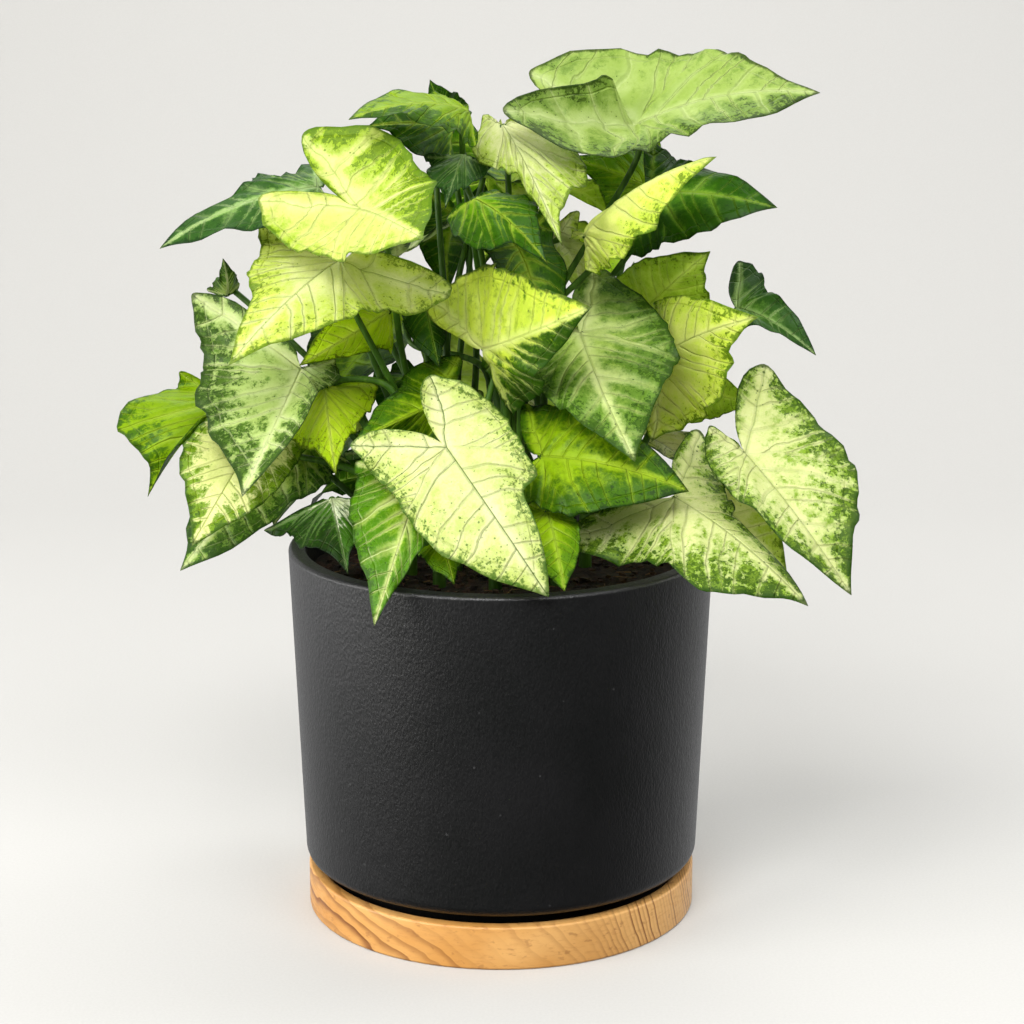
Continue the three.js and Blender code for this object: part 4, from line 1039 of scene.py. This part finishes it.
# Stalks that would brush another leaf pass through a point of their own on the way.
DETOURS = {
    3: (-44, -8, 215), 4: (-38, 6, 220), 5: (-38, -4, 205), 6: (-46, 10, 210), 7: (-58, -2, 205),
    8: (-66, 8, 214), 9: (-54, -12, 180), 10: (-50, 6, 160), 14: (-8, -20, 195), 16: (56, -6, 190),
    18: (46, 14, 205), 19: (56, -12, 155), 21: (40, -8, 160), 25: (14, 4, 230), 26: (4, -8, 225),
    27: (30, 6, 230), 28: (34, 14, 205), 30: (-6, 26, 235), 31: (-22, 20, 235), 32: (-10, 34, 225),
    34: (6, -14, 245), 37: (38, 22, 190), 39: (26, 34, 205), 40: (-6, 26, 215), 42: (-30, 24, 165),
    50: (-22, 28, 225),
}

stalk_skin, graph = new_finish("stalk_skin")
streak = graph.noise(graph.place(stretch=(1, 1, 0.15)), 500, detail=2)
shade = graph.noise(graph.place(), 30, detail=2)
green = graph.mix(graph.step(shade, 0.3, 0.7), "#2a4a08", "#3c6410")
green = graph.mix(graph.step(streak, 0.45, 0.7, 0, 0.5), green, "#5a7f22")
graph.set("Base Color", green)
graph.set("Roughness", 0.5)
graph.set("Specular IOR Level", 0.3)
graph.set("Normal", graph.bump(streak, 0.2, 0.0004))
graph.shine_through(0.15, {"Color": green})


def curve_through(points, steps):
    """Points of a centripetal Catmull-Rom curve through these points."""
    points = [2 * points[0] - points[1], *points, 2 * points[-1] - points[-2]]
    spans = len(points) - 3
    found = []
    for t in np.linspace(0, spans, steps + 1):
        i = min(int(t), spans - 1)
        p0, p1, p2, p3 = points[i:i + 4]
        d0, d1, d2 = (max(np.linalg.norm(b - a), 1e-6) ** 0.5 for a, b in ((p0, p1), (p1, p2), (p2, p3)))
        t1 = (p1 - p0) / d0 - (p2 - p0) / (d0 + d1) + (p2 - p1) / d1
        t2 = (p2 - p1) / d1 - (p3 - p1) / (d1 + d2) + (p3 - p2) / d2
        t1, t2, w = t1 * d1, t2 * d1, t - i
        square, cube = 3 * (p2 - p1) - 2 * t1 - t2, 2 * (p1 - p2) + t1 + t2
        found.append(p1 + t1 * w + square * w ** 2 + cube * w ** 3)
    return np.array(found)


def tube(path, radii, sides):
    """Points and faces of a closed round tube along a path, with a radius at each point."""
    ahead = np.gradient(path, axis=0)
    points, faces = [], []
    side = np.cross(ahead[0], (0.3, 1.0, 0.1))
    for p, t, r in zip(path, ahead, radii):
        t = unit(t)
        side = unit(side - t * (side @ t))
        other = np.cross(t, side)
        points += [p + r * (side * math.cos(a) + other * math.sin(a))
                   for a in np.arange(sides) * 2 * math.pi / sides]
    for k in range(len(path) - 1):
        for i in range(sides):
            j = (i + 1) % sides
            faces.append((k * sides + i, k * sides + j, (k + 1) * sides + j, (k + 1) * sides + i))
    faces.append(tuple(range(sides - 1, -1, -1)))
    faces.append(tuple((len(path) - 1) * sides + i for i in range(sides)))
    return points, faces


def stalk_path(stem, leaf):
    number = leaf["number"]
    start = np.array((*stem, SOIL_TOP + leaf["climb"]), float)
    end = leaf["joint"] - leaf["up"] * 0.3
    under = end - leaf["up"] * STALK_BEND
    rise = under - start
    middle = np.array(DETOURS[number], float) if number in DETOURS else start + rise * (0.3, 0.3, 0.5)
    return curve_through([start, middle, under, end], STALK_STEPS)


for name, stem in STEMS.items():
    own = [leaf for leaf in leaves if leaf["stem"] == name]
    top = SOIL_TOP + max(leaf["climb"] for leaf in own) + 2
    heights = np.linspace(SOIL_TOP - STEM_DEPTH, top, STEM_STEPS)
    core = np.array([(*stem, z) for z in heights], float)
    points, faces = tube(core, np.linspace(STEM_RADIUS, STEM_TOP_RADIUS, STEM_STEPS), STEM_SIDES)
    for leaf in own:
        path = stalk_path(stem, leaf)
        radii = np.interp(np.linspace(0, 1, len(path)), STALK_SHARES, STALK_RADII)
        more_points, more_faces = tube(path, radii, STALK_SIDES)
        faces += [tuple(v + len(points) for v in face) for face in more_faces]
        points += more_points
    piece = mesh_piece(name + "_stalks", np.array(points) * MM, faces, stalk_skin)
    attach(piece, "root")
    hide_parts(name)
